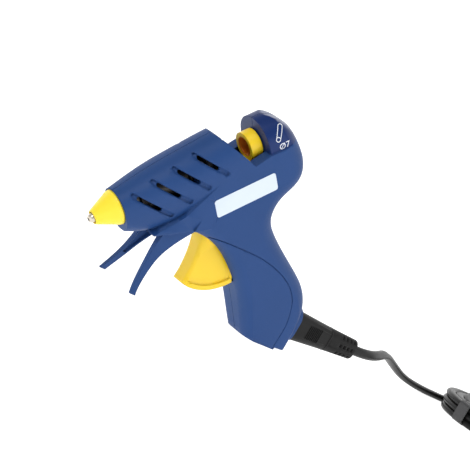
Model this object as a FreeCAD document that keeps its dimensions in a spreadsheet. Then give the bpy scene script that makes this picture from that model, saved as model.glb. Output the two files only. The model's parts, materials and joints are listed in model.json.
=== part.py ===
"""Hot-melt glue gun for 7 mm sticks: two moulded shells, a trigger that drives a feed collar, a heated chamber,
a nozzle with its sleeve, and a mains lead that plugs into the heel of the grip.

The gun stands on its two front legs and the flat base of the grip.  The origin is in the middle of that base,
+X runs towards the nozzle, +Y to the gun's left side and +Z up.  The glue stick's axis is the feed axis: it
leaves the nozzle tip and climbs backwards at the feed angle.
"""
import FreeCAD, Part
import math
import os
import re

import Sketcher
from FreeCAD import Placement, Rotation, Vector

doc = FreeCAD.newDocument("GlueGun")

# ---------------------------------------------------------------------------------------------------------
# Driving dimensions, millimetres and degrees
# ---------------------------------------------------------------------------------------------------------
DIMENSIONS = {
    # feed axis
    "tip_reach": 120.0,
    "tip_height": 20.0,
    "feed_angle": 46.8,
    # shells
    "shell_half": 13.0,
    "wall": 2.0,
    "seam_gap": 0.24,
    "edge_round_hood": 10.0,
    "edge_round_heel": 9.5,
    "edge_round_front": 9.0,
    "groove_width": 0.5,
    "groove_depth": 0.45,
    "mouth_station": 13.5,
    "hood_station": 86.0,
    "slot_width": 2.3,
    "slot_pitch": 9.0,
    "collar_height": 20.0,
    "collar_width": 14.6,
    "collar_reach": 1.8,
    # stick and hot end
    "stick_bore": 7.8,
    "tip_ball": 4.4,
    "tip_orifice": 1.7,
    "tip_thread": 6.6,
    "tip_length": 24.0,
    "sleeve_base": 16.2,
    "sleeve_front": 6.6,
    "sleeve_spigot": 13.0,
    "chamber_outer": 11.4,
    "chamber_front": 20.0,
    "chamber_length": 40.0,
    "front_cradle": 23.6,
    "rear_cradle": 48.0,
    "cradle_thick": 1.6,
    "insulator_wall": 1.3,
    "heater_length": 16.0,
    "heater_width": 10.0,
    "heater_thick": 2.6,
    "pad_drop": 7.0,
    "clip_thick": 0.5,
    "inlet_end": 71.5,
    "inlet_wall": 0.9,
    "clamp_wall": 0.6,
    "guide_front": 87.8,
    "guide_length": 9.5,
    "guide_wall": 1.5,
    # feed collar and sled
    "ring_bore": 8.9,
    "ring_outer": 13.3,
    "ring_length": 5.6,
    "ring_gap": 0.6,
    "sled_drop": 8.2,
    "sled_thick": 2.5,
    "sled_width": 4.6,
    "foot_width": 9.0,
    "foot_length": 12.0,
    "lug_drop": 15.6,
    "lug_length": 7.4,
    # trigger
    "pivot_reach": 57.7,
    "pivot_height": 38.4,
    "trigger_radius": 27.5,
    "trigger_width": 12.0,
    "trigger_travel": 20.0,
    "trigger_bevel": 2.3,
    "trigger_recess": 1.1,
    "trigger_rim": 2.2,
    "arm_length": 20.8,
    "arm_gap": 0.4,
    "arm_thick": 2.4,
    "boss_radius": 5.2,
    "pivot_pin_size": 4.0,
    "drive_pin_size": 2.5,
    # screws
    "screw_size": 2.8,
    "screw_head": 5.4,
    "screw_reach": 8.0,
    "head_seat": 8.6,
    "head_height": 2.0,
    "boss_size": 6.6,
    "pivot_half": 11.6,
    "label_thick": 0.3,
    "label_sink": 0.2,
    "vent_depth": 1.0,
    # mains inlet and lead
    "lead_height": 13.0,
    "connector_tall": 15.6,
    "connector_thick": 7.8,
    "connector_nose": 10.5,
    "connector_body": 26.4,
    "inlet_pin_pitch": 8.6,
    "inlet_pin_size": 2.4,
    "relief_length": 20.0,
    "relief_tall": 10.4,
    "cord_width": 5.2,
    "lead_wire": 1.8,
    "plug_length": 36.0,
    "plug_width": 18.0,
    "plug_tall": 13.0,
    "plug_pin_size": 4.0,
    "plug_pin_length": 19.0,
    "plug_pin_root": 3.2,
    "plug_pin_hold": 8.0,
    "plug_pin_neck": 0.3,
    "plug_pin_pitch": 18.6,
    # clearances
    "fit": 0.05,
    "play": 0.3,
    "slip": 0.12,
}

sheet = doc.addObject("Spreadsheet::Sheet", "Sizes")
for row, (alias, number) in enumerate(DIMENSIONS.items(), start=1):
    sheet.set("A%d" % row, alias)
    sheet.set("B%d" % row, str(number))
    sheet.setAlias("B%d" % row, alias)
doc.recompute()


def size(alias):
    """One driving dimension, read back from the sheet."""
    return float(getattr(sheet, alias))


def bound(text):
    """An expression on the sheet's aliases, as another object reads it."""
    return re.sub(r"[a-z_]{3,}", r"Sizes.\g<0>", text)


def value(text):
    """The number that such an expression has now."""
    return float(sheet.evalExpression(text))


# ---------------------------------------------------------------------------------------------------------
# Frames and small helpers
# ---------------------------------------------------------------------------------------------------------
ACROSS = Vector(0, 1, 0)
TIP = Vector(size("tip_reach"), 0, size("tip_height"))
FEED = Placement(TIP, Rotation(ACROSS, size("feed_angle")))
PIVOT = Vector(size("pivot_reach"), 0, size("pivot_height"))
HALF = size("shell_half")
WALL = size("wall")
PLAY = size("play")
nodes = []


def feed_point(station, rise=0.0, side=0.0):
    """A point given by its distance behind the tip, its height above the feed axis and its side."""
    return FEED.multVec(Vector(-station, side, rise))


def profile_point(x, z, y=0.0):
    return Vector(x, y, z)


def spline(points, closed=False):
    curve = Part.BSplineCurve()
    curve.interpolate(Points=points, PeriodicFlag=closed)
    return curve


def polygon_face(points):
    return Part.Face(Part.makePolygon(list(points) + [points[0]]))


def slab_from(face, half):
    """A solid of the side outline, from -half to +half across."""
    solid = face.extrude(Vector(0, 2 * half, 0))
    solid.translate(Vector(0, -half, 0))
    return solid


def feed_box(front, length, low, high, half):
    """A box square to the feed axis: from one station backwards, between two rises, half to each side."""
    box = Part.makeBox(length, 2 * half, high - low, Vector(-front - length, -half, low))
    box.Placement = FEED
    return box


def feed_cylinder(front, length, radius, rise=0.0):
    cylinder = Part.makeCylinder(radius, length, Vector(-front - length, 0, rise), Vector(1, 0, 0))
    cylinder.Placement = FEED
    return cylinder


def cross_cylinder(x, z, radius, low, high):
    return Part.makeCylinder(radius, high - low, Vector(x, low, z), ACROSS)


def add_shape(label, shape):
    """A node whose shape comes from Part's functions."""
    feature = doc.addObject("Part::Feature", label)
    feature.Label = label
    feature.Shape = shape
    feature.Placement = shape.Placement
    nodes.append(feature)
    return feature


def add_body(label):
    body = doc.addObject("PartDesign::Body", label)
    body.Label = label
    nodes.append(body)
    return body


def origin_plane(body, role):
    return next(item for item in body.Origin.OriginFeatures if item.Role == role)


def outline_sketch(body, role, points):
    """A closed outline whose corners are sheet expressions, fixed to the body's origin."""
    sketch = body.newObject("Sketcher::SketchObject", body.Label + "_outline")
    sketch.AttachmentSupport = [(origin_plane(body, role), "")]
    sketch.MapMode = "FlatFace"
    corners = [Vector(value(x), value(y), 0) for x, y in points]
    count = len(corners)
    for index, corner in enumerate(corners):
        sketch.addGeometry(Part.LineSegment(corner, corners[(index + 1) % count]))
    for index in range(count):
        sketch.addConstraint(Sketcher.Constraint("Coincident", index, 2, (index + 1) % count, 1))
    for index, pair in enumerate(points):
        for kind, axis, text, number in (
            ("DistanceX", -2, pair[0], corners[index].x),
            ("DistanceY", -1, pair[1], corners[index].y),
        ):
            if text == "0":
                sketch.addConstraint(Sketcher.Constraint("PointOnObject", index, 1, axis))
                continue
            datum = sketch.addConstraint(Sketcher.Constraint(kind, index, 1, number))
            sketch.setExpression("Constraints[%d]" % datum, bound(text))
    return sketch


def turned(label, points, placement=FEED):
    """A turned piece: stations run along -X, radii along Y, revolved about X."""
    body = add_body(label)
    sketch = outline_sketch(body, "XY_Plane", points)
    turn = body.newObject("PartDesign::Revolution", label + "_turn")
    turn.Profile = sketch
    turn.ReferenceAxis = (sketch, ["H_Axis"])
    turn.Angle = 360.0
    body.Placement = placement
    return body


def pin(label, diameter, half, centre):
    """A plain round pin across the gun."""
    body = add_body(label)
    sketch = body.newObject("Sketcher::SketchObject", label + "_circle")
    sketch.AttachmentSupport = [(origin_plane(body, "XZ_Plane"), "")]
    sketch.MapMode = "FlatFace"
    sketch.addGeometry(Part.Circle(Vector(0, 0, 0), Vector(0, 0, 1), value(diameter) / 2))
    sketch.addConstraint(Sketcher.Constraint("Coincident", 0, 3, -1, 1))
    datum = sketch.addConstraint(Sketcher.Constraint("Diameter", 0, value(diameter)))
    sketch.setExpression("Constraints[%d]" % datum, bound(diameter))
    pad = body.newObject("PartDesign::Pad", label + "_pad")
    pad.Profile = sketch
    pad.SideType = "Symmetric"
    pad.Length = 2 * value(half)
    pad.setExpression("Length", bound("2*(%s)" % half))
    body.Placement = Placement(centre, Rotation())
    return body


# ---------------------------------------------------------------------------------------------------------
# Outer form of the shells
# ---------------------------------------------------------------------------------------------------------
# Barrel stations: distance behind the tip, half width, rise of the top and drop of the underside
BARREL_STATIONS = [
    (13.0, 8.9, 8.3, 11.5),
    (22.0, 10.5, 9.9, 15.5),
    (35.0, 12.3, 11.9, 18.0),
    (48.0, 13.0, 13.1, 19.0),
    (62.0, 13.3, 14.2, 19.0),
    (75.0, 13.1, 14.8, 18.0),
    (85.5, 12.6, 15.2, 17.0),
]
BARREL_SAMPLES = 24
SIDE_FULLNESS = 0.9
TOP_FULLNESS = 0.95

# Side outline from the hood's crown over the back and down to the heel
BACK_OUTLINE = [
    (79.0, 84.0), (71.5, 90.7), (64.5, 95.5), (55.5, 96.4), (45.0, 92.2), (37.5, 86.8), (33.4, 79.5),
    (34.4, 71.5), (37.2, 63.5), (36.2, 56.5), (28.7, 49.6), (18.0, 43.8), (6.0, 38.0), (-4.0, 31.8),
    (-10.0, 23.5), (-12.4, 12.0), (-12.6, 0.0),
]
# Front edge of the flat side, from the leg up beside the barrel
CREASE_OUTLINE = [(92.0, 26.2), (88.7, 32.6), (84.8, 39.4), (81.7, 47.4), (78.5, 55.5), (75.5, 66.0), (74.5, 78.0)]
# Front of the grip, from the toe of its base up into the underside of the body
FRONT_OUTLINE = [(14.0, 0.0), (22.0, 8.4), (30.0, 16.6), (37.0, 22.4), (43.5, 26.9), (51.5, 31.4), (60.0, 34.4),
                 (68.0, 35.4), (77.0, 35.3)]
HOOD_RADIUS = 12.2
HOOD_EDGE = -2.3
FRONT_TAPER_FROM = 76.0
FRONT_TAPER_HEIGHTS = (42.0, 24.0)
FRONT_TAPER_LEAN = 4.0
UNDERSIDE = [(112.0, 19.3), (102.5, 21.8), (89.3, 25.3), (79.0, 31.5), (70.0, 37.5)]
TRAY_FRONT = (86.4, 77.4)
TRAY_STEP = (64.5, 73.7)
SLOT_ENDS = [(111.0, 90.0), (105.7, 85.7), (99.2, 81.2), (92.8, 76.6)]
SLOT_LOW = 38.2
SIDE_TAPER_RADIUS = 321.0
SIDE_TAPER_TOP = 40.0
PANEL_LINE = [
    (66.0, 36.0), (60.9, 37.0), (48.4, 37.7), (35.1, 37.6), (24.9, 36.2), (16.3, 33.9), (9.7, 30.8), (3.9, 25.9),
    (0.4, 19.7), (-1.8, 13.2), (-2.4, 7.2), (-3.5, -1.0),
]
SCREW_PLACES = [(43.0, 75.0), (24.0, 37.5), (10.2, 4.5), (82.5, 35.0)]


def egg(station, half, rise, drop):
    """One barrel section square to the feed axis: a full ellipse, deeper below than above."""
    points = []
    for index in range(BARREL_SAMPLES):
        angle = 2 * math.pi * index / BARREL_SAMPLES
        across = math.cos(angle)
        up = math.sin(angle)
        side = half * math.copysign(abs(across) ** SIDE_FULLNESS, across)
        height = (rise if up > 0 else drop) * math.copysign(abs(up) ** TOP_FULLNESS, up)
        points.append(feed_point(station, height, side))
    return Part.Wire([spline(points, closed=True).toShape()])


def barrel_form(inset):
    sections = [egg(s, half - inset, rise - inset, drop - inset) for s, half, rise, drop in BARREL_STATIONS]
    return Part.makeLoft(sections, True, False).cut(below_underside(inset))


def below_underside(inset):
    """Everything under the barrel, from its mouth back to the trigger."""
    lift = Vector(0, 0, inset)
    low = [profile_point(x, z) + lift for x, z in UNDERSIDE]
    deep = [Vector(low[-1].x, 0, -30), Vector(low[0].x, 0, -30)]
    return slab_from(polygon_face(low + deep), 2 * HALF)


def inset_points(points, inset):
    """The same smooth outline, moved inwards."""
    path = [profile_point(x, z) for x, z in points]
    curve = spline(path)
    moved = []
    for point in path:
        along = curve.tangent(curve.parameter(point))[0]
        moved.append(point + Vector(-along.z, 0, along.x) * inset)
    return moved


def side_taper(solid, inset):
    """Narrow the grip towards its base with a large tangent curve on each side."""
    for sign in (1, -1):
        centre = sign * (HALF - inset - SIDE_TAPER_RADIUS)
        keep = Part.makeCylinder(SIDE_TAPER_RADIUS, 66, Vector(-20, centre, SIDE_TAPER_TOP), Vector(1, 0, 0))
        low = HALF - inset - 6 if sign > 0 else -(HALF - inset) - 6
        block = Part.makeBox(66, 12, SIDE_TAPER_TOP + 6, Vector(-20, low, -6))
        solid = solid.cut(block.cut(keep))
    return solid


def outline_edges(solid, curve, half):
    """The edges of an extruded outline that lie on one of its curves, on both sides."""
    found = []
    for edge in solid.Edges:
        middle = edge.valueAt((edge.FirstParameter + edge.LastParameter) / 2)
        flat = Part.Vertex(profile_point(middle.x, middle.z))
        if abs(abs(middle.y) - half) < 0.01 and curve.distToShape(flat)[0] < 0.01:
            found.append(edge)
    return found


def body_form(inset):
    """Hood, body and grip: the side outline across the gun, with its long edges rounded."""
    half = HALF - inset
    back = inset_points(BACK_OUTLINE, inset)
    back[-1] = Vector(back[-1].x, 0, inset)
    front = inset_points(FRONT_OUTLINE, inset)
    front[0] = Vector(front[0].x + inset, 0, inset)
    crease = [profile_point(x - inset, z) for x, z in CREASE_OUTLINE]
    long_edge = spline(back).toShape()
    front_edge = spline(front).toShape()
    edges = [
        spline(crease).toShape(),
        Part.makeLine(crease[-1], back[0]),
        long_edge,
        Part.makeLine(back[-1], front[0]),
        front_edge,
        Part.makeLine(front[-1], crease[0]),
    ]
    solid = slab_from(Part.Face(Part.Wire(edges)), half)
    solid = solid.makeFillet(size("edge_round_hood") - inset, size("edge_round_heel") - inset,
                             outline_edges(solid, long_edge, half))
    solid = solid.makeFillet(size("edge_round_front") - inset, size("edge_round_front") - inset - 4,
                             outline_edges(solid, front_edge, half))
    solid = side_taper(solid, inset)
    return solid.cut([hood_shaver(inset)] + front_taper(inset))


def front_taper(inset):
    """What is shaved off the body above the legs, so that its sides lean in towards them."""
    top, low = FRONT_TAPER_HEIGHTS
    edge = HALF - inset
    wedge = polygon_face([Vector(FRONT_TAPER_FROM, edge, top), Vector(FRONT_TAPER_FROM, edge + 5, top),
                          Vector(FRONT_TAPER_FROM, edge + 5, low),
                          Vector(FRONT_TAPER_FROM, edge - FRONT_TAPER_LEAN, low)])
    return both_sides(wedge.extrude(Vector(30, 0, 0)))


def hood_shaver(inset):
    """What lies outside the round hood, above its lower edge."""
    block = feed_box(70, 60, HOOD_EDGE + inset, 60, 30)
    return block.cut(feed_cylinder(60, 80, HOOD_RADIUS - inset))


def tray_cutter(inset):
    """The open tray in front of the hood, where the feed collar shows."""
    hood = size("hood_station") + inset
    slope = (TRAY_FRONT[1] - TRAY_STEP[1]) / (TRAY_FRONT[0] - TRAY_STEP[0])
    front = profile_point(TRAY_FRONT[0] + 30, TRAY_FRONT[1] + 30 * slope - inset)
    step = profile_point(TRAY_STEP[0], TRAY_STEP[1] - inset)
    corner = feed_point(hood, -2.3)
    top = feed_point(hood, 40)
    return slab_from(polygon_face([front, step, corner, top]), 2 * HALF)


# Leg sections from the foot up: height, rear edge, front edge, inner side and outer side
LEG_SECTIONS = [
    (0.0, 88.6, 91.6, 13.0, 14.3),
    (5.0, 87.9, 90.8, 10.7, 12.5),
    (11.5, 86.1, 89.7, 8.6, 10.6),
    (17.5, 84.1, 88.9, 7.2, 9.4),
    (24.0, 80.9, 88.2, 6.1, 8.9),
    (33.0, 75.2, 87.0, 5.4, 9.4),
    (38.0, 71.5, 86.0, 5.4, 9.8),
]
CHANNEL_FROM = 2
LEG_WALL = 0.9


def strip_face(front, rear):
    """A face between two smooth edges, closed by straight ends."""
    first = spline([profile_point(x, z) for x, z in front])
    second = spline([profile_point(x, z) for x, z in rear])
    return Part.Face(Part.Wire([
        first.toShape(),
        Part.makeLine(first.EndPoint, second.StartPoint),
        second.toShape(),
        Part.makeLine(second.EndPoint, first.StartPoint),
    ]))


def leg_section(height, rear, front, inner, outer):
    return Part.makePolygon([Vector(rear, inner, height), Vector(front, inner, height),
                             Vector(front, outer, height), Vector(rear, outer, height),
                             Vector(rear, inner, height)])


def legs():
    """The two splayed front legs: channels open to the inside, thinner and solid towards the foot."""
    outer = Part.makeLoft([leg_section(*row) for row in LEG_SECTIONS], True, False)
    channel = Part.makeLoft([
        leg_section(height, rear + LEG_WALL, front - LEG_WALL, inner - LEG_WALL, outer - LEG_WALL)
        for height, rear, front, inner, outer in LEG_SECTIONS[CHANNEL_FROM:]
    ], True, False)
    left = outer.cut(channel)
    return left.fuse(left.mirror(Vector(0, 0, 0), ACROSS))


def stadium(height, width, x, z):
    """A round-ended wire standing upright in the plane across the gun at x."""
    radius = width / 2
    reach = height / 2 - radius
    right_low = Vector(x, -radius, z - reach)
    left_low = Vector(x, radius, z - reach)
    left_high = Vector(x, radius, z + reach)
    right_high = Vector(x, -radius, z + reach)
    return Part.Wire([
        Part.makeLine(left_low, left_high),
        Part.Arc(left_high, Vector(x, 0, z + height / 2), right_high).toShape(),
        Part.makeLine(right_high, right_low),
        Part.Arc(right_low, Vector(x, 0, z - height / 2), left_low).toShape(),
    ])


def stadium_block(height, width, x, z, length):
    return Part.Face(stadium(height, width, x, z)).extrude(Vector(length, 0, 0))


HEEL = BACK_OUTLINE[-2][0]
COLLAR_END = HEEL - size("collar_reach")
LEAD = size("lead_height")


HEEL_CORNER = [(-20.0, -1.0), (-3.5, -1.0), (-3.9, 1.2), (-8.6, 1.4), (-11.2, 3.2), (-12.6, 6.5), (-20.0, 6.5)]
HEEL_WEDGE = [(-13.0, 0.0), (-5.0, 0.0), (-13.0, 8.0)]
INLET_BACK = 4.0
INLET_FRONT = -7.6
INLET_WALL = 1.2
INLET_TALL = size("connector_tall") + 2 * PLAY
INLET_THIN = size("connector_thick") + 2 * PLAY


def trigger_path(gap):
    """All the room that the trigger sweeps through the underside and the front of the grip."""
    half = size("trigger_width") / 2 + gap
    sweep = Part.makeCylinder(size("trigger_radius") + gap, 2 * half, PIVOT - ACROSS * half, ACROSS)
    window = polygon_face([profile_point(x, z) for x, z in
                           ((67.6, 30.0), (67.6, 44.0), (40.0, 44.0), (20.0, 24.0), (30.0, 10.0), (60.0, 5.0))])
    return sweep.common(slab_from(window, half))


def shell_form():
    """Both shells as one form, before it is parted along the middle: walls, collar, legs, bosses and ribs."""
    outer = barrel_form(0.0).fuse([body_form(0.0)]).cut(tray_cutter(0.0))
    inner = barrel_form(WALL).fuse([body_form(WALL).cut(below_underside(WALL))]).cut(tray_cutter(WALL))
    mouth = size("mouth_station")
    outer = outer.cut(feed_box(mouth - 10, 10, -30, 30, 30))
    inner = inner.cut(feed_box(mouth - 10, 10 + WALL, -30, 30, 30))
    collar = stadium_block(size("collar_height"), size("collar_width"), COLLAR_END, LEAD, size("collar_reach") + 6)
    walls = outer.fuse([collar, legs()]).cut(inner)
    return walls.fuse([inside_supports(inner)])


def rib(inner, front, thick, bore, low, high):
    """A wall across the inside, square to the feed axis, with a round hole on the axis."""
    plate = feed_box(front, thick, low, high, HALF).common(inner)
    return plate.cut(feed_cylinder(front - 1, thick + 2, bore / 2))


def inside_supports(inner):
    """Screw bosses, pivot bosses, cradles of the two insulators and the rails under the feed collar."""
    ring = size("chamber_outer") + 2 * size("insulator_wall") + 2 * size("fit")
    pieces = []
    for x, z in SCREW_PLACES:
        pieces.append(cross_cylinder(x, z, size("boss_size") / 2, -HALF, HALF))
    boss = size("boss_radius")
    inside = size("trigger_width") / 2 + PLAY
    for low in (inside, -HALF):
        pieces.append(cross_cylinder(PIVOT.x, PIVOT.z, boss, low, low + HALF - inside))
    pieces.append(rib(inner, size("front_cradle"), size("cradle_thick"), ring, -30, 30))
    pieces.append(rib(inner, size("rear_cradle"), size("cradle_thick"), ring, -6.5, 30))
    rail_top = -size("sled_drop") - size("sled_thick") - PLAY
    rail = feed_box(74, size("hood_station") - 74, rail_top - 1.6, rail_top, HALF)
    pieces.append(rail.cut(feed_box(73, 20, -40, 0, 2.5)))
    pieces.append(slab_from(polygon_face([profile_point(x, z) for x, z in HEEL_WEDGE]), HALF))
    frame = Part.makeBox(size("cradle_thick"), 2 * HALF, 40, Vector(-2, -HALF, 0))
    grown = 2 * INLET_WALL + 2 * size("fit")
    pieces.append(frame.cut(stadium_block(INLET_TALL + grown, INLET_THIN + grown, -3, LEAD, 5)))
    supports = pieces[0].fuse(pieces[1:])
    return supports.common(inner)


def vent_face(front, rear, height, radius):
    """A round-ended slot outline, level with the ground."""
    return Part.Face(Part.Wire([
        Part.makeLine(Vector(front, 0, height + radius), Vector(rear, 0, height + radius)),
        Part.Arc(Vector(rear, 0, height + radius), Vector(rear - radius, 0, height),
                 Vector(rear, 0, height - radius)).toShape(),
        Part.makeLine(Vector(rear, 0, height - radius), Vector(front, 0, height - radius)),
        Part.Arc(Vector(front, 0, height - radius), Vector(front + radius, 0, height),
                 Vector(front, 0, height + radius)).toShape(),
    ]))


def both_sides(solid):
    return [solid, solid.mirror(Vector(0, 0, 0), ACROSS)]


def vents():
    """Each vent is a shallow recess whose middle goes through the wall."""
    skin = barrel_form(size("vent_depth"))
    radius = size("slot_width") / 2
    cutters = []
    for index, (front, rear) in enumerate(SLOT_ENDS):
        height = SLOT_LOW + index * size("slot_pitch")
        recess = vent_face(front, rear, height, radius).extrude(ACROSS * 20).cut(skin)
        recess = recess.cut(Part.makeBox(60, 5.2, 60, Vector(70, 0, 30)))
        start = front - (front - rear) * 0.12
        stop = front - (front - rear) * 0.66
        hole = vent_face(start, stop, height, radius - 0.25).extrude(ACROSS * 16)
        hole.translate(ACROSS * 4)
        for solid in recess.Solids:
            cutters += both_sides(solid)
        cutters += both_sides(hole)
    return cutters


def panel_groove():
    """The fine groove round the moulded grip panel on each side."""
    line = spline([profile_point(x, z) for x, z in PANEL_LINE])
    half = size("groove_width") / 2
    near = []
    far = []
    for x, z in PANEL_LINE:
        along = line.tangent(line.parameter(profile_point(x, z)))[0]
        across = Vector(-along.z, 0, along.x) * half
        near.append(profile_point(x, z) + across)
        far.append(profile_point(x, z) - across)
    face = strip_face([(p.x, p.z) for p in near], [(p.x, p.z) for p in reversed(far)])
    band = face.extrude(ACROSS * 12)
    band.translate(ACROSS * (HALF - 6))
    band = band.cut(body_form(size("groove_depth")))
    return both_sides(band)


def screw_cuts():
    """Pilot bores in the left shell, clearance bores and head recesses in the right one."""
    cutters = []
    core = size("screw_size") / 2
    for x, z in SCREW_PLACES:
        cutters.append(cross_cylinder(x, z, core + size("fit"), 0, size("screw_reach") + 1))
        cutters.append(cross_cylinder(x, z, core + size("slip"), -HALF - 1, 0))
        cutters.append(cross_cylinder(x, z, size("screw_head") / 2 + size("slip"), -HALF - 1, -size("head_seat")))
    return cutters


def openings():
    """Everything that is cut through the finished walls."""
    clear = size("slip")
    ring = size("ring_outer") / 2 + PLAY + 0.2
    low = -size("sled_drop") - size("sled_thick") - PLAY
    hood = size("hood_station")
    bush = size("stick_bore") / 2 + size("guide_wall") + clear
    pivot_half = size("pivot_pin_size") / 2 + size("fit")
    cutters = [
        feed_cylinder(0, 20, size("sleeve_spigot") / 2 + clear),
        trigger_path(PLAY),
        feed_box(66, hood - 66, low, 20, ring),
        feed_cylinder(size("guide_front"), size("guide_length"), bush),
        feed_cylinder(hood - 2, 60, size("stick_bore") / 2),
        cross_cylinder(PIVOT.x, PIVOT.z, pivot_half, -size("pivot_half"), size("pivot_half")),
        stadium_block(size("connector_tall") + 2 * PLAY, size("connector_thick") + 2 * PLAY,
                      COLLAR_END - 1, LEAD, 11),
        slab_from(polygon_face([profile_point(x, z) for x, z in HEEL_CORNER]), 2 * HALF),
        label_block(0.0, 0.2),
    ]
    return cutters + vents() + panel_groove() + screw_cuts()


LABEL_STATIONS = (53.8, 86.0)
LABEL_RISES = (-19.6, -10.9)
LABEL_CORNER = 1.2


def label_block(below, above):
    """The label's rounded plate, from below the side face to above it."""
    low, high = LABEL_RISES
    front, rear = LABEL_STATIONS
    block = Part.makeBox(rear - front, size("label_thick") + below + above, high - low,
                         Vector(-rear, HALF - size("label_sink") - below, low))
    upright = [edge for edge in block.Edges if abs(edge.Vertexes[0].Point.y - edge.Vertexes[-1].Point.y) > 0.01]
    block = block.makeFillet(LABEL_CORNER, upright)
    block.Placement = FEED
    return block


form = shell_form().cut(openings())
print("form", form.isValid(), len(form.Solids), form.Volume)
if len(form.Solids) > 1:
    raise RuntimeError("the shells are not one form: %s" % [solid.BoundBox for solid in form.Solids])
seam = size("seam_gap") / 2
room = Part.makeBox(200, 60, 140, Vector(-50, seam, -10))
add_shape("left_shell", form.common(room))
add_shape("right_shell", form.common(room.mirror(Vector(0, 0, 0), ACROSS)))
label = add_shape("side_label", label_block(0.0, 0.0))

# ---------------------------------------------------------------------------------------------------------
# Nozzle and hot end, turned about the feed axis
# ---------------------------------------------------------------------------------------------------------
turned("nozzle_tip", [
    ("0", "tip_orifice/2"),
    ("0", "tip_orifice/2+0.45"),
    ("-0.9", "tip_ball/2-0.25"),
    ("-2.2", "tip_ball/2"),
    ("-3.6", "tip_ball/2-0.3"),
    ("-4.2", "tip_ball/2+0.1"),
    ("-13.0", "tip_ball/2+0.6"),
    ("-14.0", "tip_thread/2+1.2"),
    ("-chamber_front", "tip_thread/2+1.2"),
    ("-chamber_front", "tip_thread/2"),
    ("-tip_length", "tip_thread/2"),
    ("-tip_length", "tip_thread/2-1.2"),
    ("-8.0", "tip_thread/2-1.6"),
    ("-4.0", "tip_orifice/2"),
])
turned("nozzle_sleeve", [
    ("-1.9", "tip_ball/2+0.7"),
    ("-1.9", "sleeve_front/2-0.2"),
    ("-2.6", "sleeve_front/2+0.25"),
    ("-mouth_station+1.4", "sleeve_base/2-0.25"),
    ("-mouth_station+0.02", "sleeve_base/2"),
    ("-mouth_station+0.02", "sleeve_spigot/2"),
    ("-chamber_front+0.1", "sleeve_spigot/2"),
    ("-chamber_front+0.1", "tip_thread/2+1.25"),
    ("-13.9", "tip_thread/2+1.25"),
    ("-13.0", "tip_ball/2+0.7"),
])
chamber_back = "(chamber_front+chamber_length)"
turned("melt_chamber", [
    ("-chamber_front", "tip_thread/2"),
    ("-chamber_front", "chamber_outer/2+0.7"),
    ("-chamber_front-2.4", "chamber_outer/2+0.7"),
    ("-chamber_front-2.4", "chamber_outer/2"),
    ("-" + chamber_back, "chamber_outer/2"),
    ("-" + chamber_back, "stick_bore/2-0.2"),
    ("-chamber_front-8", "stick_bore/2-0.4"),
    ("-tip_length", "tip_thread/2"),
])
for label, front in (("front_insulator", "front_cradle"), ("rear_insulator", "rear_cradle")):
    turned(label, [
        ("-%s+0.6" % front, "chamber_outer/2+fit"),
        ("-%s+0.6" % front, "chamber_outer/2+insulator_wall+1.0"),
        ("-%s+0.05" % front, "chamber_outer/2+insulator_wall+1.0"),
        ("-%s+0.05" % front, "chamber_outer/2+insulator_wall"),
        ("-%s-cradle_thick-0.4" % front, "chamber_outer/2+insulator_wall"),
        ("-%s-cradle_thick-0.4" % front, "chamber_outer/2+fit"),
    ])
turned("inlet_sleeve", [
    ("-%s+3.2" % chamber_back, "chamber_outer/2+fit"),
    ("-%s+3.2" % chamber_back, "chamber_outer/2+inlet_wall"),
    ("-%s-1.0" % chamber_back, "chamber_outer/2+inlet_wall"),
    ("-%s-2.0" % chamber_back, "stick_bore/2+inlet_wall"),
    ("-inlet_end+1.5", "stick_bore/2+inlet_wall"),
    ("-inlet_end", "stick_bore/2+inlet_wall+0.4"),
    ("-inlet_end", "stick_bore/2+0.3"),
    ("-inlet_end+2.5", "stick_bore/2-0.2"),
    ("-%s-0.05" % chamber_back, "stick_bore/2-0.2"),
    ("-%s-0.05" % chamber_back, "chamber_outer/2+fit"),
])
turned("inlet_clamp", [
    ("-%s+2.6" % chamber_back, "chamber_outer/2+inlet_wall+0.01"),
    ("-%s+2.6" % chamber_back, "chamber_outer/2+inlet_wall+clamp_wall"),
    ("-%s+0.6" % chamber_back, "chamber_outer/2+inlet_wall+clamp_wall"),
    ("-%s+0.6" % chamber_back, "chamber_outer/2+inlet_wall+0.01"),
])
turned("stick_guide", [
    ("-guide_front", "stick_bore/2"),
    ("-guide_front", "stick_bore/2+guide_wall"),
    ("-guide_front-guide_length+0.1", "stick_bore/2+guide_wall"),
    ("-guide_front-guide_length+0.1", "stick_bore/2"),
])

# Heater under the chamber and the spring band that holds it
HEATER_FRONT = 27.0
heater_low = -size("pad_drop") - size("heater_thick")
heater_half = size("heater_width") / 2
heater_end = HEATER_FRONT + size("heater_length")
outer_radius = size("chamber_outer") / 2
pad = feed_box(HEATER_FRONT, size("heater_length"), -size("pad_drop"), 0, heater_half)
pad = pad.cut(feed_cylinder(HEATER_FRONT - 1, size("heater_length") + 2, outer_radius))
add_shape("heater_seat", pad)
heater = doc.addObject("Part::Box", "heater_element")
heater.Label = "heater_element"
heater.setExpression("Length", bound("heater_length"))
heater.setExpression("Width", bound("heater_width"))
heater.setExpression("Height", bound("heater_thick"))
heater.Placement = FEED.multiply(Placement(Vector(-heater_end, -heater_half, heater_low), Rotation()))
nodes.append(heater)
CLIP_LENGTH = 9.0
clip_front = HEATER_FRONT + 3.5
clip_gap = 0.02


def band_section(grow):
    """The outline that the band goes round: the chamber, its seat and the heater, grown outwards."""
    tube = feed_cylinder(clip_front, CLIP_LENGTH, outer_radius + grow)
    box = feed_box(clip_front, CLIP_LENGTH, heater_low - grow, 0, max(heater_half, outer_radius) + grow)
    return tube.fuse(box)


add_shape("heater_clip", band_section(size("clip_thick") + clip_gap).cut(band_section(clip_gap)))

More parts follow.
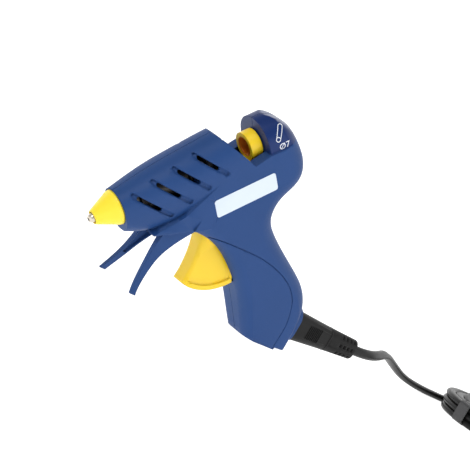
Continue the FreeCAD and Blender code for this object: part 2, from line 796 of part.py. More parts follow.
# ---------------------------------------------------------------------------------------------------------
# Feed collar with its sled, and the trigger that drives it
# ---------------------------------------------------------------------------------------------------------
ring_back = size("hood_station") - size("ring_gap")
ring_front = ring_back - size("ring_length")
sled_top = -size("sled_drop")
sled_low = sled_top - size("sled_thick")
arm = size("arm_length")
pivot_station = FEED.inverse().multVec(PIVOT)
swing = math.radians(size("trigger_travel") / 2)
pin_station = -pivot_station.x + arm * math.sin(swing)
pin_rise = pivot_station.z + arm * math.cos(swing)
stroke = 2 * arm * math.sin(swing)
drive_half = size("drive_pin_size") / 2
print("stroke %.3f mm, %.6f m per rad" % (stroke, stroke / 1000 / (2 * swing)))
print("pin at rest: station %.3f rise %.3f; pivot station %.3f rise %.3f"
      % (pin_station, pin_rise, -pivot_station.x, pivot_station.z))


def feed_collar():
    ring = feed_cylinder(ring_front, size("ring_length"), size("ring_outer") / 2)
    web = feed_box(ring_front, size("ring_length"), sled_top - 0.5, -2, 3.2)
    foot = feed_box(ring_back - size("foot_length"), size("foot_length"), sled_low, sled_top,
                    size("foot_width") / 2)
    lug_middle = pin_station
    half_lug = size("lug_length") / 2
    sled = feed_box(lug_middle - half_lug, ring_back - lug_middle + half_lug, sled_low, sled_top,
                    size("sled_width") / 2)
    lug = feed_box(lug_middle - half_lug, size("lug_length"), -size("lug_drop"), sled_low + 0.1,
                   size("sled_width") / 2)
    body = ring.fuse([web, foot, sled, lug])
    slot_half = drive_half + size("slip")
    slot_top = pivot_station.z + arm + 0.6
    slot_low = pin_rise - 0.6
    slot = feed_box(lug_middle - slot_half, 2 * slot_half, slot_low, slot_top, HALF)
    ends = []
    for rise in (slot_low, slot_top):
        centre = feed_point(lug_middle, rise)
        ends.append(cross_cylinder(centre.x, centre.z, slot_half, -HALF, HALF))
    bore = feed_cylinder(ring_front - 1, size("ring_length") + 2, size("ring_bore") / 2)
    return body.cut([slot, bore] + ends).removeSplitter()


add_shape("feed_collar", feed_collar())

TRIGGER_FACE = [(65.2, 38.0), (63.8, 33.6), (61.9, 28.2), (60.8, 23.6), (60.1, 18.5), (59.9, 14.8), (60.1, 11.0)]
TRIGGER_REAR_ANGLE = 219.5
TRIGGER_TOP_REAR = (47.0, 37.5)


def trigger_blade(inset):
    """The side outline of the finger blade: concave face, round bottom about the pivot and straight back."""
    radius = size("trigger_radius") - inset
    face = spline(inset_points(TRIGGER_FACE, inset * TRIGGER_BAND))
    back = math.radians(TRIGGER_REAR_ANGLE)
    lower = face.EndPoint
    reach = Vector(lower.x - PIVOT.x, 0, lower.z - PIVOT.z)
    front_angle = math.atan2(reach.z, reach.x) + 2 * math.pi
    start = PIVOT + Vector(math.cos(front_angle), 0, math.sin(front_angle)) * radius
    middle_angle = (front_angle + back) / 2
    middle = PIVOT + Vector(math.cos(middle_angle), 0, math.sin(middle_angle)) * radius
    end = PIVOT + Vector(math.cos(back), 0, math.sin(back)) * radius
    top = profile_point(*TRIGGER_TOP_REAR) + Vector(inset, 0, inset)
    points = inset_points(TRIGGER_FACE, inset * TRIGGER_BAND)
    points[0] += Vector(0, 0, inset)
    points[-1] = start
    wire = Part.Wire([
        spline(points).toShape(),
        Part.Arc(start, middle, end).toShape(),
        Part.makeLine(end, top),
        Part.makeLine(top, points[0]),
    ])
    return Part.Face(wire)


TRIGGER_BAND = 2.4
COIL_ROOM = 5.6


def trigger_form():
    half = size("trigger_width") / 2
    blade = slab_from(trigger_blade(0.0), half)
    face_curve = spline([profile_point(x, z) for x, z in TRIGGER_FACE]).toShape()
    edges = outline_edges(blade, face_curve, half)
    blade = blade.makeChamfer(size("trigger_bevel"), edges)
    pocket = trigger_blade(size("trigger_rim")).extrude(ACROSS * 4)
    pocket.translate(ACROSS * (half - size("trigger_recess")))
    boss = cross_cylinder(PIVOT.x, PIVOT.z, size("boss_radius"), -half, half)
    blade = blade.cut(both_sides(pocket)).fuse([boss])
    # two arms up to the drive pin
    inner = size("sled_width") / 2 + size("arm_gap")
    thick = size("arm_thick")
    pin_centre = feed_point(pin_station, pin_rise)
    length = (pin_centre - PIVOT).Length
    along = (pin_centre - PIVOT).normalize()
    across = Vector(-along.z, 0, along.x)
    root = 4.2
    end = drive_half + 1.1
    side = polygon_face([PIVOT + across * root, PIVOT - across * root,
                         PIVOT + along * length - across * end, PIVOT + along * length + across * end])
    arms = []
    for low in (inner, -inner - thick):
        plate = side.extrude(ACROSS * thick)
        plate.translate(ACROSS * low)
        arms.append(plate)
        arms.append(cross_cylinder(pin_centre.x, pin_centre.z, end, low, low + thick))
    form = blade.fuse(arms)
    # room for the spring's coil between the arms
    room_half = inner - 0.2
    coil = cross_cylinder(PIVOT.x, PIVOT.z, COIL_ROOM, -room_half, room_half)
    bore = cross_cylinder(PIVOT.x, PIVOT.z, size("pivot_pin_size") / 2 + size("fit"), -HALF, HALF)
    hole = cross_cylinder(pin_centre.x, pin_centre.z, drive_half, -HALF, HALF)
    return form.cut([coil, bore, hole]), pin_centre


trigger, drive_centre = trigger_form()
add_shape("trigger", trigger)
pin("drive_pin", "drive_pin_size", "sled_width/2+arm_gap+arm_thick", drive_centre)
pin("pivot_pin", "pivot_pin_size", "pivot_half-0.1", PIVOT)

SPRING_WIRE = 0.7
SPRING_TURNS = 4
SPRING_PITCH = 1.05
SPRING_REAR_END = 7.0
SPRING_FRONT_END = 3.7


def return_spring():
    """A torsion spring round the pivot pin, with one straight end up to the shell and one down to the blade."""
    radius = size("pivot_pin_size") / 2 + size("slip") + SPRING_WIRE / 2 + 0.5
    height = SPRING_PITCH * (SPRING_TURNS - 1)
    turns = [Part.makeTorus(radius, SPRING_WIRE / 2, Vector(0, 0, SPRING_PITCH * turn))
             for turn in range(SPRING_TURNS)]
    rear_end = Part.makeCylinder(SPRING_WIRE / 2, SPRING_REAR_END, Vector(radius + SPRING_WIRE, 0, 0), -ACROSS)
    front_end = Part.makeCylinder(SPRING_WIRE / 2, SPRING_FRONT_END, Vector(radius + SPRING_WIRE, 0, height), ACROSS)
    spring = Part.makeCompound(turns + [rear_end, front_end])
    spring.Placement = Placement(PIVOT - ACROSS * (height / 2), Rotation(Vector(1, 0, 0), -90))
    return spring


add_shape("return_spring", return_spring())

# ---------------------------------------------------------------------------------------------------------
# Screws, all put in from the right side
# ---------------------------------------------------------------------------------------------------------


def shell_screws():
    solids = []
    core = size("screw_size") / 2
    head = size("screw_head") / 2
    seat = -size("head_seat")
    for x, z in SCREW_PLACES:
        shank = cross_cylinder(x, z, core, seat, size("screw_reach"))
        top = cross_cylinder(x, z, head, seat - size("head_height"), seat)
        screw = shank.fuse(top)
        for turn in (0, 90):
            bar = Part.makeBox(head * 1.3, 1.0, 0.7, Vector(-head * 0.65, -0.5, -0.35))
            bar.Placement = Placement(Vector(x, seat - size("head_height"), z), Rotation(ACROSS, turn))
            screw = screw.cut(bar)
        solids.append(screw)
    return Part.makeCompound(solids)


add_shape("shell_screws", shell_screws())

# ---------------------------------------------------------------------------------------------------------
# Mains inlet in the heel, its pins, and the two leads up to the heater
# ---------------------------------------------------------------------------------------------------------
cup = stadium_block(INLET_TALL + 2 * INLET_WALL, INLET_THIN + 2 * INLET_WALL, INLET_FRONT, LEAD,
                    INLET_BACK - INLET_FRONT)
cup = cup.cut(stadium_block(INLET_TALL, INLET_THIN, INLET_FRONT - 1, LEAD, -INLET_FRONT - 2))
pin_radius = size("inlet_pin_size") / 2
pin_half = size("inlet_pin_pitch") / 2
pin_front = INLET_FRONT + 1.0
pins = [Part.makeCylinder(pin_radius, INLET_BACK + 2.5 - pin_front, Vector(pin_front, 0, LEAD + offset),
                          Vector(1, 0, 0)) for offset in (-pin_half, pin_half)]
add_shape("mains_inlet", cup.cut(pins))
add_shape("inlet_pins", Part.makeCompound(pins))


def route_path(points, share):
    """Straight runs joined by tangent arcs; each arc is as large as its two runs allow."""
    edges = []
    radii = []
    start = points[0]
    for before, corner, after in zip(points, points[1:], points[2:]):
        into = (corner - before).normalize()
        out = (after - corner).normalize()
        turn = into.getAngle(out)
        cut = share * min((corner - before).Length, (after - corner).Length)
        radii.append(cut / math.tan(turn / 2))
        first = corner - into * cut
        last = corner + out * cut
        bisector = (out - into).normalize()
        middle = corner + bisector * arc_sag(cut, turn)
        edges.append(Part.makeLine(start, first))
        edges.append(Part.Arc(first, middle, last).toShape())
        start = last
    edges.append(Part.makeLine(start, points[-1]))
    return Part.Wire(edges), radii


def arc_sag(cut, turn):
    """How far the middle of a tangent arc lies inside its corner."""
    radius = cut / math.tan(turn / 2)
    return radius / math.cos(turn / 2) - radius


def tube_along(label, points, diameter, share=0.45):
    path, radii = route_path(points, share)
    along = (points[1] - points[0]).normalize()
    section = Part.Wire([Part.Circle(points[0], along, diameter / 2).toShape()])
    tube = path.makePipeShell([section], True, False)
    expected = math.pi * (diameter / 2) ** 2 * path.Length
    print("%s: length %.1f, volume %.0f of %.0f, radii %s"
          % (label, path.Length, tube.Volume, expected, [round(r, 1) for r in radii]))
    return tube, path.Length


# The leads rise beside the trigger, one on each side, and end on the heater's two faces
def heater_lead(sign):
    start = Vector(INLET_BACK + 2.5, 0, LEAD + sign * pin_half)
    side = sign * 8.2
    rise = heater_low + 1.1
    end = feed_point(heater_end, rise, sign * 3.4)
    return [
        start,
        start + Vector(3.0, 0, 0),
        start + Vector(6.5, sign * 4.0, 2.0),
        Vector(19.5, side, 27.0),
        Vector(33.0, side + sign * 1.0, 33.0),
        Vector(45.0, side + sign * 1.2, 47.0),
        Vector(62.0, side + sign * 1.2, 56.5),
        Vector(75.0, sign * 8.4, 55.0),
        feed_point(heater_end + 6, rise, sign * 3.4),
        end,
    ]


leads = []
for sign in (-1, 1):
    tube, _ = tube_along("heater lead", heater_lead(sign), size("lead_wire"))
    leads.append(tube)
add_shape("heater_leads", Part.makeCompound(leads))

# ---------------------------------------------------------------------------------------------------------
# Mains lead: connector, strain relief, cord, put-away coil with its tie, and plug
# ---------------------------------------------------------------------------------------------------------
relief_start = COLLAR_END - 0.2 - size("connector_body")
relief_end = relief_start - size("relief_length")
RELIEF_START_TALL = 12.2
RELIEF_START_THICK = 7.4
RELIEF_END_THICK = 6.4


def cord_connector():
    grip = Part.makeLoft([
        stadium(size("connector_tall"), size("connector_thick"), COLLAR_END - 0.2, LEAD),
        stadium(RELIEF_START_TALL, RELIEF_START_THICK, relief_start, LEAD),
    ], True, True)
    nose = stadium_block(size("connector_tall") - 0.3, size("connector_thick") - 0.3, COLLAR_END - 0.2, LEAD,
                         size("connector_nose"))
    holes = []
    for offset in (-pin_half, pin_half):
        holes.append(Part.makeCylinder(pin_radius + size("slip"), 14, Vector(COLLAR_END + 1.0, 0, LEAD + offset),
                                       Vector(1, 0, 0)))
    return grip.fuse(nose).cut(holes)


def strain_relief():
    """A tapered boot with three rows of slots on each face, which let it bend."""
    boot = Part.makeLoft([
        stadium(RELIEF_START_TALL, RELIEF_START_THICK, relief_start, LEAD),
        stadium(size("relief_tall"), RELIEF_END_THICK, relief_end, LEAD),
    ], True, True)
    slots = []
    for column in range(4):
        x = relief_end + 1.6 + column * 2.9
        for middle, height in ((-4.4, 2.4), (0.0, 1.7), (4.4, 2.4)):
            slot = Part.makeBox(1.5, 2, height, Vector(x, 1.9, LEAD + middle - height / 2))
            slots += both_sides(slot)
    return boot.cut(slots)


add_shape("cord_connector", cord_connector())
add_shape("cord_strain_relief", strain_relief())

CORD = size("cord_width")
CORD_FLAT = 3.6
LAYERS = 3
COLUMNS = 3
COIL_INNER_TURN = 23.5
COIL_CENTRE = Vector(-192.0, 4.0, 0)
coil_turn = COIL_INNER_TURN + (COLUMNS - 1) * CORD
entry = Vector(COIL_CENTRE.x, COIL_CENTRE.y - coil_turn, CORD / 2)
cord_route = [
    Vector(relief_end, 0, LEAD),
    Vector(relief_end - 9.0, 0, LEAD),
    Vector(-83.3, -3.8, 13.7),
    Vector(-100.4, -14.1, 15.2),
    Vector(-118.0, -23.0, 10.5),
    Vector(-137.0, -28.6, 4.6),
    Vector(-157.0, -30.9, 2.6),
    Vector(-175.0, -30.9, 2.6),
    entry,
]
coil_height = LAYERS * CORD_FLAT
coil_outer = coil_turn + CORD / 2
coil_bore = COIL_INNER_TURN - CORD / 2
coil = Part.makeCylinder(coil_outer, coil_height, COIL_CENTRE)
coil = coil.cut(Part.makeCylinder(coil_bore, coil_height, COIL_CENTRE))
cord, cord_length = tube_along("cord", cord_route, CORD)
floor = Part.makeBox(300, 200, 20, Vector(-260, -100, -20))
cord_solid = cord.cut([coil, floor])
cord_solid = max(cord_solid.Solids, key=lambda solid: solid.Volume)
add_shape("cord", cord_solid)

TIE_WIDTH = 7.0
TIE_THICK = 0.9
tie_outer = Part.makeBox(COLUMNS * CORD + 2 * TIE_THICK, TIE_WIDTH, coil_height + TIE_THICK,
                         COIL_CENTRE + Vector(coil_bore - TIE_THICK, -TIE_WIDTH / 2, 0))
add_shape("coil_tie", tie_outer.cut(coil))
add_shape("cord_coil", coil)

PLUG_TURN = 90.0
PLUG_START = Vector(-17.0, -2.0, 0)


def mains_plug():
    """A flat two-pin plug, widest at its front, lying on the coil."""
    length = size("plug_length")
    half = size("plug_width")
    tall = size("plug_tall")
    outline = [Vector(0, -4, 0), Vector(6, -5, 0), Vector(20, -half + 1, 0), Vector(length - 7, -half, 0),
               Vector(length, -half + 4, 0), Vector(length, half - 4, 0), Vector(length - 7, half, 0),
               Vector(20, half - 1, 0), Vector(6, 5, 0), Vector(0, 4, 0)]
    body = polygon_face(outline).extrude(Vector(0, 0, tall))
    long_edges = [edge for edge in body.Edges
                  if abs(edge.Vertexes[0].Point.z - edge.Vertexes[-1].Point.z) < 0.01]
    body = body.makeChamfer(2.2, long_edges)
    return body


plug_place = Placement(COIL_CENTRE + PLUG_START + Vector(0, 0, coil_height), Rotation(Vector(0, 0, 1), PLUG_TURN))
plug = mains_plug()
plug_pins = []
for offset in (-size("plug_pin_pitch") / 2, size("plug_pin_pitch") / 2):
    held = size("plug_pin_hold") + size("plug_pin_neck")
    start = Vector(size("plug_length") - size("plug_pin_hold"), offset, size("plug_tall") / 2)
    root = Part.makeCylinder(size("plug_pin_root") / 2, held, start, Vector(1, 0, 0))
    pin = Part.makeCylinder(size("plug_pin_size") / 2, size("plug_pin_length") - size("plug_pin_neck"),
                            start + Vector(held, 0, 0), Vector(1, 0, 0))
    plug_pins.append(root.fuse(pin))
plug = plug.cut(plug_pins)
plug.Placement = plug_place
group = Part.makeCompound(plug_pins)
group.Placement = plug_place
add_shape("mains_plug", plug)
add_shape("plug_pins", group)

# ---------------------------------------------------------------------------------------------------------
# Check everything, then write each node
# ---------------------------------------------------------------------------------------------------------
doc.recompute()
faults = []
for item in doc.Objects:
    if "Invalid" in item.State or "Error" in item.State:
        faults.append("%s: %s" % (item.Label, item.State))
for node in nodes:
    if node.Shape.isNull() or not node.Shape.isValid() or not node.Shape.Solids:
        faults.append("%s: bad shape" % node.Label)
if faults:
    raise RuntimeError("; ".join(faults))
os.makedirs("parts", exist_ok=True)
for node in nodes:
    print("%-20s %2d solid(s) %9.1f mm3" % (node.Label, len(node.Shape.Solids), node.Shape.Volume))
    node.Shape.exportStep("parts/%s.step" % node.Label)
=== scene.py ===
"""Looks of the hot-melt glue gun: finishes of its moulded and turned parts, the marks on the hood, the ribbed
mains connector, the flat lead with its put-away coil, and a pale studio.  Lengths are in metres.
"""
import json
import math

import bmesh
import bpy
from mathutils import Matrix, Vector

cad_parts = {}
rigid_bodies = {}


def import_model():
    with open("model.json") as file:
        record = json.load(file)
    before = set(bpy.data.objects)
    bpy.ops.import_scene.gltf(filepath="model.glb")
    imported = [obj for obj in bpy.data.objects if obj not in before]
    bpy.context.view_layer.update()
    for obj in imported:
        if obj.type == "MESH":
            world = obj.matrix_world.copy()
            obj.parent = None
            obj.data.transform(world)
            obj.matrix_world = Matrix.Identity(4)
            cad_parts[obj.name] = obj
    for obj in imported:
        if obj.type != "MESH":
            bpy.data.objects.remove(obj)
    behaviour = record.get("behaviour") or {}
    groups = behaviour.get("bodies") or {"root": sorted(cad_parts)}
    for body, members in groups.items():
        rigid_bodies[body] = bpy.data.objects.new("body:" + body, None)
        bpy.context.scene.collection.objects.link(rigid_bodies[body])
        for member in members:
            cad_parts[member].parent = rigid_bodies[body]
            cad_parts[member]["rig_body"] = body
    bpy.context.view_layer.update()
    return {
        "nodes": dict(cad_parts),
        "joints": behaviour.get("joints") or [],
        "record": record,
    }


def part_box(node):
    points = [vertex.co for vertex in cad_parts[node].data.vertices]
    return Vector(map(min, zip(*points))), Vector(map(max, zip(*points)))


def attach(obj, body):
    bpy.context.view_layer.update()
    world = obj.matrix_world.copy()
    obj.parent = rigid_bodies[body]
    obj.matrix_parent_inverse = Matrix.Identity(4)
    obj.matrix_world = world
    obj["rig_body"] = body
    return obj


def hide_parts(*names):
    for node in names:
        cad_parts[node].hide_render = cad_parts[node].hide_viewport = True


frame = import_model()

bl_info = {
    "name": "Glue gun finishes",
    "version": (1, 0, 0),
    "blender": (4, 5, 0),
    "location": "3D View > Sidebar > Glue gun",
    "description": "Dresses the packed glue gun: plastics, metal, marks, lead and studio",
    "category": "Object",
}

MM = 0.001
HOUSING = "housing"
UP = Vector((0, 0, 1))
ACROSS = Vector((0, 1, 0))

# The feed axis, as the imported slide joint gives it, and the nozzle's tip on it
FEED_FORWARD = Vector(next(joint["axis"] for joint in frame["joints"] if joint["name"] == "collar_feed"))
FEED_RISE = Vector((-FEED_FORWARD.z, 0, FEED_FORWARD.x))
TIP = Vector(next(mount["pos_m"] for mount in frame["record"]["mounts"] if mount["name"] == "glue_outlet"))
PIVOT = Vector(next(joint["pos_m"] for joint in frame["joints"] if joint["name"] == "trigger_pull"))


def feed_point(station, rise=0.0, side=0.0):
    """A point by its distance behind the tip, its height above the feed axis and its side, all in millimetres."""
    return TIP + (FEED_RISE * rise - FEED_FORWARD * station + ACROSS * side) * MM


# ---------------------------------------------------------------------------------------------------------
# Shader arithmetic
# ---------------------------------------------------------------------------------------------------------
class Value:
    """A shader socket that can be used in sums."""

    def __init__(self, finish, socket):
        self.finish = finish
        self.socket = socket

    def _sum(self, operation, first, second):
        return self.finish.node("ShaderNodeMath", {"operation": operation}, {0: first, 1: second})

    def __add__(self, other):
        return self._sum("ADD", self, other)

    __radd__ = __add__

    def __sub__(self, other):
        return self._sum("SUBTRACT", self, other)

    def __rsub__(self, other):
        return self._sum("SUBTRACT", other, self)

    def __mul__(self, other):
        return self._sum("MULTIPLY", self, other)

    __rmul__ = __mul__


class Finish:
    """One procedural material, built from a Principled shader."""

    def __init__(self, name, roughness=0.5, metallic=0.0, **sockets):
        self.material = bpy.data.materials.new(name)
        self.material.use_nodes = True
        self.tree = self.material.node_tree
        self.shader = self.tree.nodes["Principled BSDF"]
        self.set("Roughness", roughness)
        self.set("Metallic", metallic)
        for socket, number in sockets.items():
            self.set(socket.replace("_", " "), number)

    def put(self, socket, value):
        if isinstance(value, Value):
            self.tree.links.new(value.socket, socket)
        else:
            socket.default_value = value

    def set(self, name, value):
        self.put(self.shader.inputs[name], value)
        return self

    def node(self, kind, settings=None, inputs=None, output=0):
        made = self.tree.nodes.new(kind)
        for name, setting in (settings or {}).items():
            if name == "stops":
                ramp = made.color_ramp
                for index, (place, colour) in enumerate(setting):
                    stop = ramp.elements[index] if index < 2 else ramp.elements.new(place)
                    stop.position = place
                    stop.color = colour
            else:
                setattr(made, name, setting)
        for name, value in (inputs or {}).items():
            self.put(made.inputs[name], value)
        return Value(self, made.outputs[output])

    def place(self):
        return self.node("ShaderNodeTexCoord", output="Object")

    def along(self, direction, origin=(0, 0, 0)):
        """How far a point lies from an origin along a direction."""
        offset = self.node("ShaderNodeVectorMath", {"operation": "SUBTRACT"}, {0: self.place(), 1: tuple(origin)})
        return self.node("ShaderNodeVectorMath", {"operation": "DOT_PRODUCT"},
                         {0: offset, 1: tuple(direction)}, output="Value")

    def noise(self, scale, detail=2.0, rough=0.5, stretch=None):
        place = self.place()
        if stretch:
            place = self.node("ShaderNodeMapping", None, {"Vector": place, "Scale": stretch})
        return self.node("ShaderNodeTexNoise", None,
                         {"Vector": place, "Scale": scale, "Detail": detail, "Roughness": rough})

    def step(self, value, low, high):
        """0 below low, 1 above high, smooth between."""
        return self.node("ShaderNodeMapRange", {"interpolation_type": "SMOOTHSTEP"},
                         {"Value": value, "From Min": low, "From Max": high, "To Min": 0.0, "To Max": 1.0})

    def mix(self, share, first, second):
        made = self.tree.nodes.new("ShaderNodeMix")
        made.data_type = "RGBA"
        self.put(made.inputs["Factor"], share)
        self.put(made.inputs[6], first)
        self.put(made.inputs[7], second)
        return Value(self, made.outputs[2])

    def relief(self, height, strength, distance, edge=None):
        """Bump from a height, with softly rounded edges under it."""
        inputs = {"Height": height, "Strength": strength, "Distance": distance}
        if edge:
            inputs["Normal"] = self.node("ShaderNodeBevel", {"samples": 6}, {"Radius": edge})
        return self.set("Normal", self.node("ShaderNodeBump", None, inputs))


def rgb(red, green, blue):
    return (red, green, blue, 1.0)


# ---------------------------------------------------------------------------------------------------------
# Finishes
# ---------------------------------------------------------------------------------------------------------
def shell_blue(settings):
    """Blue spark-textured moulding; the hood's panel is darker and glossier."""
    finish = Finish("blue_shell", Specular_IOR_Level=0.2)
    cloud = finish.noise(38.0, 3.0)
    station = finish.along(-FEED_FORWARD, TIP)
    rise = finish.along(FEED_RISE, TIP)
    hood = finish.step(station, 0.0855, 0.0861) * finish.step(rise, -0.0026, -0.0020)
    base = finish.mix(cloud, settings.shell_colour, settings.shell_shade)
    colour = finish.mix(hood * 0.75, base, settings.hood_colour)
    grain = finish.noise(2600.0, 2.0, 0.6)
    finish.set("Base Color", colour)
    finish.set("Roughness", 0.47 + finish.noise(900.0) * 0.10 - hood * 0.16)
    return finish.relief(grain, 0.16, 0.00012, edge=0.00045).material


def yellow_plastic(name, colour, shade):
    """Warm yellow satin moulding."""
    finish = Finish(name, Specular_IOR_Level=0.5, Subsurface_Weight=0.12, Subsurface_Scale=0.002)
    finish.shader.inputs["Subsurface Radius"].default_value = (1.0, 0.5, 0.1)
    cloud = finish.noise(60.0, 2.0)
    finish.set("Base Color", finish.mix(cloud, colour, shade))
    finish.set("Roughness", 0.34 + finish.noise(700.0) * 0.10)
    return finish.relief(finish.noise(1500.0, 2.0), 0.08, 0.0001, edge=0.0005).material


def ring_yellow(settings):
    """The feed collar's yellow, with painted shade in its bore: warm orange where the shade and bounced light inside
    the ring fall.
    """
    finish = Finish("collar_moulding", Specular_IOR_Level=0.5, Subsurface_Weight=0.1, Subsurface_Scale=0.002)
    side = finish.along(ACROSS, TIP)
    rise = finish.along(FEED_RISE, TIP)
    radius = finish.node("ShaderNodeMath", {"operation": "SQRT"}, {0: side * side + rise * rise})
    # Painted shade: within the bore's radius the yellow is mixed to warm orange, standing in for the shade inside the
    # ring.
    painted_bore_shade = 1.0 - finish.step(radius, 0.0046, 0.0049)
    finish.set("Base Color", finish.mix(painted_bore_shade, settings.yellow_colour, rgb(0.72, 0.20, 0.012)))
    finish.set("Roughness", 0.34 + finish.noise(700.0) * 0.10)
    return finish.relief(finish.noise(1500.0, 2.0), 0.08, 0.0001, edge=0.0004).material


def dark_silicone():
    finish = Finish("dark_silicone")
    finish.set("Base Color", finish.mix(finish.noise(300.0), rgb(0.016, 0.012, 0.012), rgb(0.028, 0.020, 0.018)))
    finish.set("Roughness", 0.5 + finish.noise(1200.0) * 0.15)
    return finish.relief(finish.noise(1800.0), 0.15, 0.0001).material


def turned_metal():
    """Nickel-plated brass with fine turning marks and a faint straw tint from the heat."""
    finish = Finish("turned_metal", metallic=1.0)
    station = finish.along(-FEED_FORWARD, TIP)
    rings = finish.node("ShaderNodeMath", {"operation": "SINE"}, {0: station * 42000.0})
    heat = 1.0 - finish.step(station, 0.0, 0.006)
    finish.set("Base Color", finish.mix(heat * 0.35, rgb(0.66, 0.65, 0.62), rgb(0.62, 0.46, 0.28)))
    finish.set("Roughness", 0.24 + finish.noise(800.0) * 0.16)
    return finish.relief(rings, 0.10, 0.00002, edge=0.0002).material


def shade_darkened_aluminium():
    finish = Finish("shade_darkened_aluminium", metallic=1.0)
    # Painted shade: the metal is coloured dark grey, not bright aluminium, so the parts inside the shell look
    # shadowed and throw no glint out through the vents.
    finish.set("Base Color", finish.mix(finish.noise(200.0), rgb(0.10, 0.095, 0.09), rgb(0.17, 0.16, 0.15)))
    finish.set("Roughness", 0.42 + finish.noise(900.0) * 0.2)
    return finish.relief(finish.noise(700.0, 4.0), 0.3, 0.0002, edge=0.0003).material


def bright_steel():
    finish = Finish("bright_steel", metallic=1.0)
    finish.set("Base Color", finish.mix(finish.noise(400.0), rgb(0.50, 0.50, 0.50), rgb(0.60, 0.60, 0.60)))
    finish.set("Roughness", 0.22 + finish.noise(2500.0) * 0.12)
    return finish.relief(finish.noise(4000.0, 1.0), 0.08, 0.00003, edge=0.0001).material


def black_screw():
    finish = Finish("blackened_steel", metallic=0.9)
    finish.set("Base Color", finish.mix(finish.noise(500.0), rgb(0.05, 0.05, 0.055), rgb(0.11, 0.11, 0.115)))
    finish.set("Roughness", 0.36 + finish.noise(1500.0) * 0.18)
    return finish.relief(finish.noise(2600.0), 0.1, 0.00004, edge=0.00015).material


def plated_pin():
    finish = Finish("plated_pin", metallic=1.0)
    finish.set("Base Color", finish.mix(finish.noise(250.0), rgb(0.72, 0.70, 0.64), rgb(0.78, 0.72, 0.58)))
    finish.set("Roughness", 0.2 + finish.noise(900.0) * 0.12)
    return finish.relief(finish.noise(3000.0, 1.0), 0.06, 0.00003).material


def black_moulding():
    """Satin black connector plastic."""
    finish = Finish("black_moulding", Specular_IOR_Level=0.18)
    finish.set("Base Color", finish.mix(finish.noise(80.0), rgb(0.006, 0.006, 0.006), rgb(0.011, 0.011, 0.011)))
    finish.set("Roughness", 0.40 + finish.noise(1100.0) * 0.16)
    return finish.relief(finish.noise(2200.0, 2.0), 0.14, 0.00008, edge=0.0004).material


def black_boot():
    """Softer black of the bending boot."""
    finish = Finish("black_boot", Specular_IOR_Level=0.18)
    finish.set("Base Color", finish.mix(finish.noise(120.0), rgb(0.006, 0.006, 0.006), rgb(0.011, 0.011, 0.011)))
    finish.set("Roughness", 0.52 + finish.noise(900.0) * 0.16)
    return finish.relief(finish.noise(1600.0, 3.0), 0.16, 0.00008, edge=0.0003).material


def cord_black():
    """Smooth cable compound, with faint drawing lines along it."""
    finish = Finish("cable_black", Specular_IOR_Level=0.22)
    uv = finish.node("ShaderNodeTexCoord", output="UV")
    stretched = finish.node("ShaderNodeMapping", None, {"Vector": uv, "Scale": (60.0, 4.0, 1.0)})
    lines = finish.node("ShaderNodeTexNoise", None, {"Vector": stretched, "Scale": 1.0, "Detail": 3.0})
    finish.set("Base Color", finish.mix(lines, rgb(0.004, 0.004, 0.004), rgb(0.009, 0.009, 0.009)))
    finish.set("Roughness", 0.30 + lines * 0.16)
    return finish.relief(lines, 0.2, 0.00008).material


def label_film():
    """Plain pale film with a satin face."""
    finish = Finish("label_film", Specular_IOR_Level=0.5)
    cloud = finish.noise(90.0, 2.0)
    finish.set("Base Color", finish.mix(cloud, rgb(0.62, 0.71, 0.82), rgb(0.70, 0.78, 0.88)))
    finish.set("Roughness", 0.30 + finish.noise(1200.0) * 0.08)
    return finish.relief(finish.noise(1600.0), 0.05, 0.00005).material


def mark_ink():
    finish = Finish("mark_ink", Specular_IOR_Level=0.4)
    finish.set("Base Color", finish.mix(finish.noise(900.0), rgb(0.66, 0.70, 0.78), rgb(0.78, 0.81, 0.87)))
    finish.set("Roughness", 0.42 + finish.noise(2000.0) * 0.1)
    return finish.relief(finish.noise(2200.0), 0.1, 0.00003).material


def woven_sleeving():
    finish = Finish("woven_sleeving")
    weave = finish.node("ShaderNodeTexChecker", None,
                        {"Vector": finish.place(), "Scale": 2600.0,
                         "Color1": rgb(0.62, 0.58, 0.50), "Color2": rgb(0.76, 0.73, 0.66)})
    finish.set("Base Color", weave)
    finish.set("Roughness", 0.7 + finish.noise(800.0) * 0.15)
    return finish.relief(finish.noise(2400.0), 0.4, 0.0001).material


def heater_ceramic():
    finish = Finish("heater_ceramic")
    finish.set("Base Color", finish.mix(finish.noise(500.0, 4.0), rgb(0.12, 0.11, 0.10), rgb(0.20, 0.18, 0.16)))
    finish.set("Roughness", 0.75 + finish.noise(1500.0) * 0.15)
    return finish.relief(finish.noise(1500.0, 4.0), 0.3, 0.0001).material


def hook_and_loop():
    finish = Finish("tie_weave", Sheen_Weight=0.3)
    weave = finish.node("ShaderNodeTexWave", {"wave_type": "BANDS"},
                        {"Vector": finish.place(), "Scale": 700.0, "Distortion": 2.0})
    finish.set("Base Color", finish.mix(weave, rgb(0.018, 0.018, 0.02), rgb(0.05, 0.05, 0.052)))
    finish.set("Roughness", 0.8 + finish.noise(900.0) * 0.1)
    return finish.relief(weave, 0.5, 0.0002).material


# ---------------------------------------------------------------------------------------------------------
# Mesh helpers
# ---------------------------------------------------------------------------------------------------------
CLOSE_POINTS = 2e-6
CREASE_ANGLE = math.radians(32)
SHELL_CREASE = math.radians(28)
TRIGGER_CREASE = math.radians(24)
ROUND_CREASE = math.radians(50)
WIRE_CREASE = math.radians(60)


def finish_piece(mesh, name, body, material, crease=CREASE_ANGLE):
    """An object of a mesh, dressed, smooth up to its creases, and riding on its body."""
    mesh.polygons.foreach_set("use_smooth", [True] * len(mesh.polygons))
    mesh.set_sharp_from_angle(angle=crease)
    mesh.materials.clear()
    mesh.materials.append(material)
    piece = bpy.data.objects.new(name, mesh)
    bpy.context.scene.collection.objects.link(piece)
    flats = piece.modifiers.new("flats", "WEIGHTED_NORMAL")
    flats.keep_sharp = True
    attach(piece, body)
    return piece


